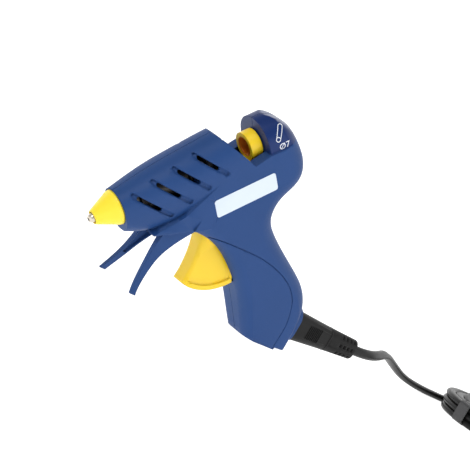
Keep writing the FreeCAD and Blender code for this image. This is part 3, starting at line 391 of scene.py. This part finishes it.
def mesh_of(bm, name, outward=True):
    """The finished mesh of a bmesh; outward turns its faces out first."""
    if outward:
        bmesh.ops.recalc_face_normals(bm, faces=bm.faces)
    mesh = bpy.data.meshes.new(name)
    bm.to_mesh(mesh)
    bm.free()
    return mesh


def new_verts(made):
    """The vertices among what a bmesh operator made."""
    return [item for item in made["geom"] if isinstance(item, bmesh.types.BMVert)]


def round_edges(bm, edges, offset, segments):
    """Round some edges off."""
    return bmesh.ops.bevel(bm, geom=edges, offset=offset, segments=segments, profile=0.5, affect="EDGES",
                           material=-1)


def sharp_edges(bm, least=1.0):
    """Edges whose two faces meet at more than an angle, in radians."""
    return [e for e in bm.edges if len(e.link_faces) == 2 and e.calc_face_angle(0) > least]


def dressed_copy(node, material, crease=CREASE_ANGLE):
    """A merged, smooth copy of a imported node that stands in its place."""
    source = frame["nodes"][node]
    bm = bmesh.new()
    bm.from_mesh(source.data)
    bmesh.ops.remove_doubles(bm, verts=bm.verts, dist=CLOSE_POINTS)
    bmesh.ops.dissolve_degenerate(bm, edges=bm.edges, dist=CLOSE_POINTS)
    piece = finish_piece(mesh_of(bm, node + "_skin", False), node + "_skin", source["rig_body"],
                         material, crease)
    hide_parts(node)
    return piece


def dress_node(node, material):
    """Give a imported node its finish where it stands."""
    mesh = frame["nodes"][node].data
    mesh.materials.clear()
    mesh.materials.append(material)


def rounded_bar(bm, sides, edge, centre):
    """A bar of three side lengths with rounded edges, about a centre."""
    made = bmesh.ops.create_cube(bm, size=1.0)["verts"]
    bmesh.ops.scale(bm, vec=sides, verts=made)
    bevelled = round_edges(bm, list({e for v in made for e in v.link_edges}), edge, 2)
    bmesh.ops.translate(bm, vec=centre, verts=list({v for f in bevelled["faces"] for v in f.verts}))


# ---------------------------------------------------------------------------------------------------------
# Settings
# ---------------------------------------------------------------------------------------------------------
def colour_setting(name, description, default):
    """A colour that shows as a swatch in the panel."""
    return bpy.props.FloatVectorProperty(name=name, description=description, subtype="COLOR", size=4,
                                         min=0.0, max=1.0, default=default)


class GunSettings(bpy.types.PropertyGroup):
    """Colours and sizes that a user may change."""

    shell_colour: colour_setting("Shell", "Blue of the moulded shells", rgb(0.019, 0.064, 0.215))
    shell_shade: colour_setting("Shell shade", "Second blue, clouded into the first", rgb(0.014, 0.052, 0.175))
    hood_colour: colour_setting("Hood", "Darker blue of the hood's panel", rgb(0.004, 0.016, 0.105))
    yellow_colour: colour_setting("Yellow", "Yellow of trigger and collar", rgb(0.95, 0.66, 0.015))
    yellow_shade: colour_setting("Yellow shade", "Second yellow", rgb(0.91, 0.60, 0.012))
    sleeve_colour: colour_setting("Sleeve", "Paler yellow of the nozzle's sleeve", rgb(0.96, 0.80, 0.05))
    cord_width: bpy.props.FloatProperty(name="Lead width", description="Wide side of the flat lead",
                                        default=5.2 * MM, unit="LENGTH")
    cord_thick: bpy.props.FloatProperty(name="Lead thickness", description="Narrow side of the flat lead",
                                        default=3.6 * MM, unit="LENGTH")
    mark_height: bpy.props.FloatProperty(name="Size mark", description="Height of the stick-size mark",
                                         default=3.0 * MM, unit="LENGTH")
    rib_pitch: bpy.props.FloatProperty(name="Rib pitch", description="Distance between the connector's grip ribs",
                                       default=1.15 * MM, unit="LENGTH")


# ---------------------------------------------------------------------------------------------------------
# The lead: route, coil and its flat tube
# ---------------------------------------------------------------------------------------------------------
ROUTE = [
    (-60.8, 0.0, 13.0),
    (-69.8, 0.0, 13.0),
    (-83.3, -3.8, 13.7),
    (-100.4, -14.1, 15.2),
    (-118.0, -23.0, 10.5),
    (-137.0, -28.6, 4.6),
    (-157.0, -30.9, 2.2),
    (-175.0, -30.9, 1.8),
]
COIL_CENTRE = (-192.0, 4.0)
OUTER, MIDDLE, INNER, PLUG_LANE = 33.9, 28.7, 23.5, 17.0
LAYER_PITCH = 3.6
PLUG_LAYER = 4.3
COIL_STEP = 22.5
LEAD_TURN = 60 * MM
LEAD_SIDES = 8
# Places along the winding, in degrees from where the lead joins the coil: a change to the next radius or the
# next layer runs over one of these stretches
RADIUS_CHANGES = [(305, 360, OUTER, MIDDLE), (665, 720, MIDDLE, INNER), (1275, 1330, INNER, MIDDLE),
                  (1635, 1690, MIDDLE, OUTER), (2245, 2300, OUTER, MIDDLE), (2605, 2660, MIDDLE, INNER),
                  (2880, 2960, INNER, PLUG_LANE)]
LAYER_CHANGES = [(970, 1025, 0.0, 1.0), (1940, 1995, 1.0, 2.0), (2790, 2960, 2.0, PLUG_LAYER)]
WINDING_END = 2960.0


def staged(angle, changes, start):
    """The value that a list of gradual changes has reached at an angle."""
    value = start
    for first, last, low, high in changes:
        share = min(max((angle - first) / (last - first), 0.0), 1.0)
        if share > 0:
            value = low + (high - low) * share * share * (3 - 2 * share)
    return value


def lead_points(thick):
    """Control points of the whole lead, in metres: the free stretch, then every turn of the coil."""
    points = [Vector(point) * MM for point in ROUTE]
    turns = int(WINDING_END / COIL_STEP)
    for index in range(turns + 1):
        angle = index * WINDING_END / turns
        radius = staged(angle, RADIUS_CHANGES, OUTER)
        layer = staged(angle, LAYER_CHANGES, 0.0)
        turn = math.radians(angle)
        height = thick / MM / 2 + layer * LAYER_PITCH
        points.append(Vector((COIL_CENTRE[0] - radius * math.sin(turn),
                              COIL_CENTRE[1] - radius * math.cos(turn), height)) * MM)
    return points


def smooth_line(points, name):
    """Points along the NURBS line that has these control points."""
    curve = bpy.data.curves.new(name, "CURVE")
    curve.dimensions = "3D"
    curve.resolution_u = 6
    spline = curve.splines.new("NURBS")
    spline.points.add(len(points) - 1)
    for point, place in zip(spline.points, points):
        point.co = (*place, 1.0)
    spline.order_u = 3
    spline.use_endpoint_u = True
    holder = bpy.data.objects.new(name, curve)
    bpy.context.scene.collection.objects.link(holder)
    bpy.context.view_layer.update()
    mesh = bpy.data.meshes.new_from_object(holder.evaluated_get(bpy.context.evaluated_depsgraph_get()))
    line = [vertex.co.copy() for vertex in mesh.vertices]
    bpy.data.objects.remove(holder)
    bpy.data.curves.remove(curve)
    bpy.data.meshes.remove(mesh)
    return line


def flat_ring(bm, width, thick):
    """A closed ring with two straight sides and round ends, in the XY plane, wide along X."""
    radius = thick / 2
    reach = width / 2 - radius
    verts = []
    for end in (1, -1):
        for index in range(LEAD_SIDES + 1):
            angle = math.pi * index / LEAD_SIDES - math.pi / 2
            verts.append(bm.verts.new((end * (reach + radius * math.cos(angle)),
                                       end * radius * math.sin(angle), 0)))
    for first, second in zip(verts, verts[1:] + verts[:1]):
        bm.edges.new((first, second))
    return verts


def cross_frame(along, width_direction):
    """The turn that lays a ring's X on the width direction and its Z along the line."""
    wide = (width_direction - along * width_direction.dot(along)).normalized()
    return Matrix((wide, along.cross(wide), along)).transposed()


def lead_tube(line, width, thick):
    """A flat tube along a line; its wide side stands upright at first and lies level further on."""
    bm = bmesh.new()
    uv_layer = bm.loops.layers.uv.new("along")
    flat_ring(bm, width, thick)
    ring = list(bm.verts)
    edges = list(bm.edges)
    caps = [list(ring)]
    previous = Matrix.Identity(4)
    travelled = 0.0
    lengths = []
    for index, place in enumerate(line):
        before = line[max(index - 1, 0)]
        after = line[min(index + 1, len(line) - 1)]
        along = (after - before).normalized()
        travelled += (place - before).length
        lengths.append(travelled)
        share = min(travelled / LEAD_TURN, 1.0)
        share = share * share * (3 - 2 * share)
        level = UP.cross(along).normalized()
        wide = (UP * (1 - share) + level * share).normalized()
        matrix = Matrix.Translation(place) @ cross_frame(along, wide).to_4x4()
        if index:
            made = bmesh.ops.extrude_edge_only(bm, edges=edges)
            ring = new_verts(made)
            edges = [item for item in made["geom"] if isinstance(item, bmesh.types.BMEdge)
                     and all(vert in ring for vert in item.verts)]
        bmesh.ops.transform(bm, matrix=matrix @ previous.inverted(), verts=ring)
        previous = matrix
    caps.append(ring)
    bm.verts.index_update()
    count = len(caps[0])
    for face in bm.faces:
        for loop in face.loops:
            step = loop.vert.index // count
            loop[uv_layer].uv = ((loop.vert.index % count) / count, lengths[min(step, len(lengths) - 1)] * 100)
    for cap in caps:
        bmesh.ops.contextual_create(bm, geom=cap)
    return bm


class GUN_OT_lead(bpy.types.Operator):
    """Lay the flat lead from the boot to its put-away coil, and wind the coil"""

    bl_idname = "gun.lead"
    bl_label = "Mains lead"

    def execute(self, context):
        settings = context.scene.gun_settings
        line = smooth_line(lead_points(settings.cord_thick), "lead_line")
        bm = lead_tube(line, settings.cord_width, settings.cord_thick)
        lead = finish_piece(mesh_of(bm, "mains_lead"), "mains_lead", HOUSING, cord_black(),
                            ROUND_CREASE)
        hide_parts("cord", "cord_coil")
        return {"FINISHED"}


# Half of the plug's outline, from its rear: shares of its half width and of its length
PLUG_OUTLINE = [(0.22, 0.0), (0.28, 0.16), (0.94, 0.56), (1.0, 0.82), (0.8, 1.0)]


class GUN_OT_plug(bpy.types.Operator):
    """Make the flat two-pin plug that lies on the coil"""

    bl_idname = "gun.plug"
    bl_label = "Mains plug"

    SIDE_ROUND = 2.5 * MM
    FACE_ROUND = 3.2 * MM
    GRIPS = 4
    GRIP_START = -0.06
    GRIP_PITCH = 0.07

    def execute(self, context):
        low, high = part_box("mains_plug")
        centre = (low + high) / 2
        length = high.y - low.y
        half = (high.x - low.x) / 2
        tall = high.z - low.z
        bm = bmesh.new()
        outline = [(-x, y) for x, y in PLUG_OUTLINE] + PLUG_OUTLINE[::-1]
        verts = [bm.verts.new((x * half, y * length - length / 2, -tall / 2)) for x, y in outline]
        made = bmesh.ops.extrude_face_region(bm, geom=[bm.faces.new(verts)])
        bmesh.ops.translate(bm, vec=(0, 0, tall), verts=new_verts(made))
        bmesh.ops.recalc_face_normals(bm, faces=bm.faces)
        round_edges(bm, [e for e in bm.edges if not self.level(e)], self.SIDE_ROUND, 4)
        rims = [e for e in sharp_edges(bm) if self.level(e)]
        bmesh.ops.bevel(bm, geom=rims, offset=self.FACE_ROUND, segments=5, profile=0.5, affect="EDGES",
                        material=-1, clamp_overlap=True)
        bmesh.ops.translate(bm, vec=centre, verts=bm.verts)
        for sign in (1, -1):
            for row in range(self.GRIPS):
                along = (self.GRIP_START + row * self.GRIP_PITCH) * length
                rounded_bar(bm, (half * 0.9, 1.2 * MM, 0.8 * MM), 0.3 * MM,
                            centre + Vector((0, along, sign * tall / 2)))
        plug = finish_piece(mesh_of(bm, "plug_skin"), "plug_skin", HOUSING, black_moulding())
        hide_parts("mains_plug")
        dress_node("plug_pins", plated_pin())
        return {"FINISHED"}

    @staticmethod
    def level(edge):
        return abs(edge.verts[0].co.z - edge.verts[1].co.z) < 0.1 * MM


class GUN_OT_tie(bpy.types.Operator):
    """Make the strap that holds the coil together"""

    bl_idname = "gun.tie"
    bl_label = "Coil tie"

    THICK = 0.8 * MM
    CORNER = 2.0 * MM

    def execute(self, context):
        low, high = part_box("coil_tie")
        centre = (low + high) / 2
        bm = bmesh.new()
        outer = bmesh.ops.create_cube(bm, size=1.0)["verts"]
        bmesh.ops.scale(bm, vec=high - low, verts=outer)
        bmesh.ops.translate(bm, vec=centre, verts=outer)
        ends = [face for face in bm.faces if abs(face.normal.y) > 0.9]
        bmesh.ops.delete(bm, geom=ends, context="FACES_ONLY")
        along = [e for e in bm.edges if abs(e.verts[0].co.y - e.verts[1].co.y) > MM]
        round_edges(bm, along, self.CORNER, 4)
        bmesh.ops.recalc_face_normals(bm, faces=bm.faces)
        bmesh.ops.solidify(bm, geom=list(bm.faces), thickness=self.THICK)
        rounded_bar(bm, (9 * MM, high.y - low.y, 0.9 * MM), 0.3 * MM,
                    Vector((centre.x + 1.5 * MM, centre.y, high.z - 0.1 * MM)))
        strap = finish_piece(mesh_of(bm, "coil_strap"), "coil_strap", HOUSING, hook_and_loop())
        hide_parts("coil_tie")
        return {"FINISHED"}


# ---------------------------------------------------------------------------------------------------------
# Connector and boot
# ---------------------------------------------------------------------------------------------------------
class GUN_OT_connector(bpy.types.Operator):
    """Dress the mains connector and its boot, and add the grip ribs"""

    bl_idname = "gun.connector"
    bl_label = "Connector"

    RIBS = 8
    RIB_START = 7.5 * MM
    RIB_SIDE = 3.78 * MM
    RIB_SIZE = (0.55 * MM, 0.9 * MM, 7.2 * MM)
    STEP_TALL = 12.5 * MM
    STEP_THICK = 7.9 * MM
    STEP_LENGTH = 0.9 * MM

    def execute(self, context):
        pitch = context.scene.gun_settings.rib_pitch
        black = black_moulding()
        dressed_copy("cord_connector", black)
        dressed_copy("cord_strain_relief", black_boot())
        relief_low, relief_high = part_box("cord_strain_relief")
        lead_height = (relief_low.z + relief_high.z) / 2
        start = relief_high.x + self.RIB_START
        bm = bmesh.new()
        for sign in (1, -1):
            for rib in range(self.RIBS):
                rounded_bar(bm, self.RIB_SIZE, 0.2 * MM,
                            Vector((start + rib * pitch, sign * self.RIB_SIDE, lead_height)))
        finish_piece(mesh_of(bm, "connector_ribs"), "connector_ribs", HOUSING, black)
        bm = bmesh.new()
        collar = flat_ring(bm, self.STEP_TALL, self.STEP_THICK)
        bmesh.ops.rotate(bm, verts=collar, cent=(0, 0, 0), matrix=Matrix.Rotation(math.pi / 2, 3, "Y"))
        second = new_verts(bmesh.ops.extrude_edge_only(bm, edges=list(bm.edges)))
        bmesh.ops.translate(bm, vec=(-self.STEP_LENGTH, 0, 0), verts=second)
        bmesh.ops.contextual_create(bm, geom=collar)
        bmesh.ops.contextual_create(bm, geom=second)
        bmesh.ops.translate(bm, vec=(relief_high.x + self.STEP_LENGTH / 2, 0, lead_height), verts=bm.verts)
        round_edges(bm, sharp_edges(bm), 0.25 * MM, 2)
        finish_piece(mesh_of(bm, "connector_step"), "connector_step", HOUSING, black)
        return {"FINISHED"}


# ---------------------------------------------------------------------------------------------------------
# Shells, marks and label
# ---------------------------------------------------------------------------------------------------------
# Marks on the hood, in millimetres: X is the distance behind the tip, Y the way round the hood from its widest side
HOOD_RADIUS = 12.2
INK_LIFT = 0.05
STROKE = 0.36
STICK_LOW = (91.0, 3.3)
STICK_HIGH = (94.2, 8.6)
STICK_RADIUS = 1.2
STICK_FACE = 1.25
SIZE_CORNER = (90.6, -1.9, 0)
LONGEST_EDGE = 0.8


def onto_hood(bm):
    """Wrap flat marks round the hood: X runs back along the feed axis, Y round it, both in millimetres."""
    for vert in bm.verts:
        turn = vert.co.y / HOOD_RADIUS
        radius = HOOD_RADIUS + INK_LIFT + vert.co.z
        vert.co = feed_point(vert.co.x, radius * math.sin(turn), radius * math.cos(turn))


def subdivide_long(bm):
    """Cut long edges, so that a mark follows the hood's curve."""
    bmesh.ops.subdivide_edges(bm, edges=[e for e in bm.edges if e.calc_length() > LONGEST_EDGE], cuts=7)


def outline_band(bm, start, end, radius):
    """A closed stroke round a round-ended bar."""
    rims = []
    for reach in (radius, radius - STROKE):
        rims.append([bm.verts.new((x, y, 0)) for x, y in capsule(start, end, reach)])
    outer, inner = rims
    for index in range(len(outer)):
        bm.faces.new((outer[index - 1], outer[index], inner[index], inner[index - 1]))
    subdivide_long(bm)


def capsule(start, end, radius, sides=8):
    """The outline of a round-ended bar between two points."""
    axis = Vector(end) - Vector(start)
    heading = math.atan2(axis.y, axis.x)
    points = []
    for centre, base in ((end, heading - math.pi / 2), (start, heading + math.pi / 2)):
        for index in range(sides + 1):
            angle = base + math.pi * index / sides
            points.append((centre[0] + radius * math.cos(angle), centre[1] + radius * math.sin(angle)))
    return points


class GUN_OT_shells(bpy.types.Operator):
    """Dress the two moulded shells"""

    bl_idname = "gun.shells"
    bl_label = "Shells"

    def execute(self, context):
        blue = shell_blue(context.scene.gun_settings)
        for node in ("left_shell", "right_shell"):
            dressed_copy(node, blue, SHELL_CREASE)
        return {"FINISHED"}


class GUN_OT_marks(bpy.types.Operator):
    """Print the stick symbol and its size on the hood, and dress the plain side label"""

    bl_idname = "gun.marks"
    bl_label = "Marks"

    def execute(self, context):
        settings = context.scene.gun_settings
        ink = mark_ink()
        bm = bmesh.new()
        outline_band(bm, STICK_LOW, STICK_HIGH, STICK_RADIUS)
        outline_band(bm, STICK_LOW, (STICK_LOW[0] + 0.01, STICK_LOW[1]), STICK_FACE)
        onto_hood(bm)
        finish_piece(mesh_of(bm, "stick_symbol"), "stick_symbol", HOUSING, ink)

        text = bpy.data.curves.new("size_text", "FONT")
        text.body = "Ø7"
        text.size = settings.mark_height / MM * 1.4
        text.align_x = "LEFT"
        text.resolution_u = 3
        text.offset = 0.02
        holder = bpy.data.objects.new("size_text", text)
        context.scene.collection.objects.link(holder)
        context.view_layer.update()
        letters = bpy.data.meshes.new_from_object(holder.evaluated_get(context.evaluated_depsgraph_get()))
        bpy.data.objects.remove(holder)
        bm = bmesh.new()
        bm.from_mesh(letters)
        bmesh.ops.remove_doubles(bm, verts=bm.verts, dist=1e-4)
        subdivide_long(bm)
        bmesh.ops.translate(bm, vec=SIZE_CORNER, verts=bm.verts)
        onto_hood(bm)
        finish_piece(mesh_of(bm, "size_mark"), "size_mark", HOUSING, ink)
        dressed_copy("side_label", label_film())
        return {"FINISHED"}


# ---------------------------------------------------------------------------------------------------------
# Nozzle, hot end, trigger and small parts
# ---------------------------------------------------------------------------------------------------------
class GUN_OT_hot_end(bpy.types.Operator):
    """Dress the nozzle, the chamber and what is around it"""

    bl_idname = "gun.hot_end"
    bl_label = "Nozzle and hot end"

    def execute(self, context):
        settings = context.scene.gun_settings
        dressed_copy("nozzle_sleeve", yellow_plastic("sleeve_yellow", settings.sleeve_colour, settings.yellow_colour))
        dressed_copy("nozzle_tip", turned_metal())
        aluminium = shade_darkened_aluminium()
        for node in ("melt_chamber", "heater_seat"):
            dress_node(node, aluminium)
        silicone = dark_silicone()
        for node in ("front_insulator", "rear_insulator", "inlet_sleeve", "stick_guide"):
            dressed_copy(node, silicone)
        dress_node("heater_element", heater_ceramic())
        # Painted shade: the heater clip and the inlet clamp take this dark metal as well, so no glint shows through
        # the vents.
        for node in ("heater_clip", "inlet_clamp"):
            dress_node(node, aluminium)
        return {"FINISHED"}


class GUN_OT_drive(bpy.types.Operator):
    """Dress the trigger, the feed collar and their pins, and wind the return spring"""

    bl_idname = "gun.drive"
    bl_label = "Trigger and feed"

    WIRE = 0.35 * MM
    COIL_RADIUS = 2.97 * MM
    TURNS = 4
    STEPS = 96
    REAR_END = 7.0 * MM
    FRONT_END = 3.6 * MM

    def execute(self, context):
        settings = context.scene.gun_settings
        yellow = yellow_plastic("trigger_yellow", settings.yellow_colour, settings.yellow_shade)
        dressed_copy("trigger", yellow, TRIGGER_CREASE)
        dressed_copy("feed_collar", ring_yellow(settings))
        steel = bright_steel()
        for node in ("drive_pin", "pivot_pin"):
            dressed_copy(node, steel)
        low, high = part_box("return_spring")
        height = high.y - low.y - 2 * self.WIRE
        bm = bmesh.new()
        ring = bmesh.ops.create_circle(bm, radius=self.WIRE, segments=10,
                                       matrix=Matrix.Translation((self.COIL_RADIUS, 0, 0)))["verts"]
        edges = list(bm.edges)
        made = bmesh.ops.spin(bm, geom=ring + edges, cent=(0, 0, 0), axis=(0, 1, 0),
                              angle=-2 * math.pi * self.TURNS, dvec=(0, height / self.STEPS, 0),
                              steps=self.STEPS)
        last = [item for item in made["geom_last"] if isinstance(item, bmesh.types.BMVert)]
        for end, reach in ((ring, self.REAR_END), (last, -self.FRONT_END)):
            rim = [e for e in bm.edges if e.verts[0] in end and e.verts[1] in end]
            tip = new_verts(bmesh.ops.extrude_edge_only(bm, edges=rim))
            bmesh.ops.translate(bm, vec=(0, 0, reach), verts=tip)
            bmesh.ops.contextual_create(bm, geom=tip)
        bmesh.ops.translate(bm, vec=PIVOT - ACROSS * (height / 2), verts=bm.verts)
        spring = finish_piece(mesh_of(bm, "spring_wire"), "spring_wire", HOUSING, steel,
                              WIRE_CREASE)
        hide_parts("return_spring")
        return {"FINISHED"}


class GUN_OT_fittings(bpy.types.Operator):
    """Dress the screws, the mains inlet, its pins and the heater leads"""

    bl_idname = "gun.fittings"
    bl_label = "Fittings"

    def execute(self, context):
        dressed_copy("shell_screws", black_screw())
        dressed_copy("mains_inlet", black_moulding())
        dressed_copy("inlet_pins", plated_pin())
        dressed_copy("heater_leads", woven_sleeving(), ROUND_CREASE)
        return {"FINISHED"}


# ---------------------------------------------------------------------------------------------------------
# Studio
# ---------------------------------------------------------------------------------------------------------
CAMERA_PLACE = Vector((0.5371, 0.5595, 0.1185))
CAMERA_TURN = Matrix(((-0.6830, 0.3176, 0.6579), (0.5326, -0.3999, 0.7461), (0.4999, 0.8599, 0.1041)))
CAMERA_LENS = 126.4
FLOOR_REACH = 3.0
AIR_LIGHT = 0.30
LIGHT_AIM = Vector((0.045, 0.0, 0.045))
# Name, place, side, power, colour
LIGHTS = [("key", (0.75, 0.35, 0.75), 0.5, 5.0, (1.0, 0.99, 0.97)),
          ("side", (-0.25, 0.8, 0.25), 0.6, 2.0, (0.97, 0.98, 1.0)),
          ("back", (-0.4, -0.5, 0.7), 0.5, 2.5, (1.0, 1.0, 1.0))]


def floor_white():
    """A floor that stays white in the picture, whatever light falls on it."""
    finish = Finish("studio_floor", Specular_IOR_Level=0.0, Emission_Color=rgb(1.0, 1.0, 1.0),
                    Emission_Strength=0.94)
    finish.set("Base Color", finish.mix(finish.noise(6.0), rgb(0.48, 0.48, 0.48), rgb(0.50, 0.50, 0.50)))
    finish.set("Roughness", 0.9)
    return finish.material


def area_light(name, place, side, power, colour):
    """A square soft light that looks at the gun."""
    data = bpy.data.lights.new(name, "AREA")
    data.shape = "SQUARE"
    data.size = side
    data.energy = power
    data.color = colour
    lamp = bpy.data.objects.new(name, data)
    lamp.location = place
    lamp.rotation_euler = (LIGHT_AIM - Vector(place)).to_track_quat("-Z", "Y").to_euler()
    bpy.context.scene.collection.objects.link(lamp)


class GUN_OT_studio(bpy.types.Operator):
    """Set up the camera, the lights and the pale floor"""

    bl_idname = "gun.studio"
    bl_label = "Studio"

    def execute(self, context):
        scene = context.scene
        camera = bpy.data.objects.new("studio_camera", bpy.data.cameras.new("studio_camera"))
        scene.collection.objects.link(camera)
        camera.data.sensor_width = 36.0
        camera.data.lens = CAMERA_LENS
        camera.data.clip_start = 0.01
        camera.matrix_world = Matrix.Translation(CAMERA_PLACE) @ CAMERA_TURN.to_4x4()
        scene.camera = camera

        bm = bmesh.new()
        bmesh.ops.create_grid(bm, x_segments=4, y_segments=4, size=FLOOR_REACH)
        far = [e for e in bm.edges if len(e.link_faces) == 1
               and all(min(vert.co.x, vert.co.y) < -0.97 * FLOOR_REACH for vert in e.verts)]
        wall = new_verts(bmesh.ops.extrude_edge_only(bm, edges=far))
        bmesh.ops.translate(bm, vec=(0, 0, FLOOR_REACH), verts=wall)
        mesh = mesh_of(bm, "studio_floor", False)
        mesh.materials.append(floor_white())
        ground = bpy.data.objects.new("studio_floor", mesh)
        scene.collection.objects.link(ground)

        world = bpy.data.worlds.new("studio_air")
        world.use_nodes = True
        world.node_tree.nodes["Background"].inputs["Color"].default_value = rgb(1.0, 1.0, 1.0)
        world.node_tree.nodes["Background"].inputs["Strength"].default_value = AIR_LIGHT
        scene.world = world
        scene.view_settings.view_transform = "Standard"

        for light in LIGHTS:
            area_light(*light)
        return {"FINISHED"}


class GUN_PT_panel(bpy.types.Panel):
    """Lists the steps in the sidebar"""

    bl_idname = "GUN_PT_panel"
    bl_label = "Glue gun"
    bl_space_type = "VIEW_3D"
    bl_region_type = "UI"
    bl_category = "Glue gun"

    def draw(self, context):
        settings = context.scene.gun_settings
        for name in GunSettings.__annotations__:
            self.layout.prop(settings, name)
        for operator in OPERATORS:
            self.layout.operator(operator.bl_idname)


OPERATORS = (GUN_OT_studio, GUN_OT_plug, GUN_OT_tie, GUN_OT_lead, GUN_OT_connector, GUN_OT_shells, GUN_OT_marks,
             GUN_OT_hot_end, GUN_OT_drive, GUN_OT_fittings)


def register():
    for item in (GunSettings, *OPERATORS, GUN_PT_panel):
        bpy.utils.register_class(item)
    bpy.types.Scene.gun_settings = bpy.props.PointerProperty(type=GunSettings)


def unregister():
    del bpy.types.Scene.gun_settings
    for item in (GUN_PT_panel, *reversed(OPERATORS), GunSettings):
        bpy.utils.unregister_class(item)


def main():
    register()
    for operator in OPERATORS:
        group, name = operator.bl_idname.split(".")
        getattr(getattr(bpy.ops, group), name)()


if __name__ == "__main__":
    main()
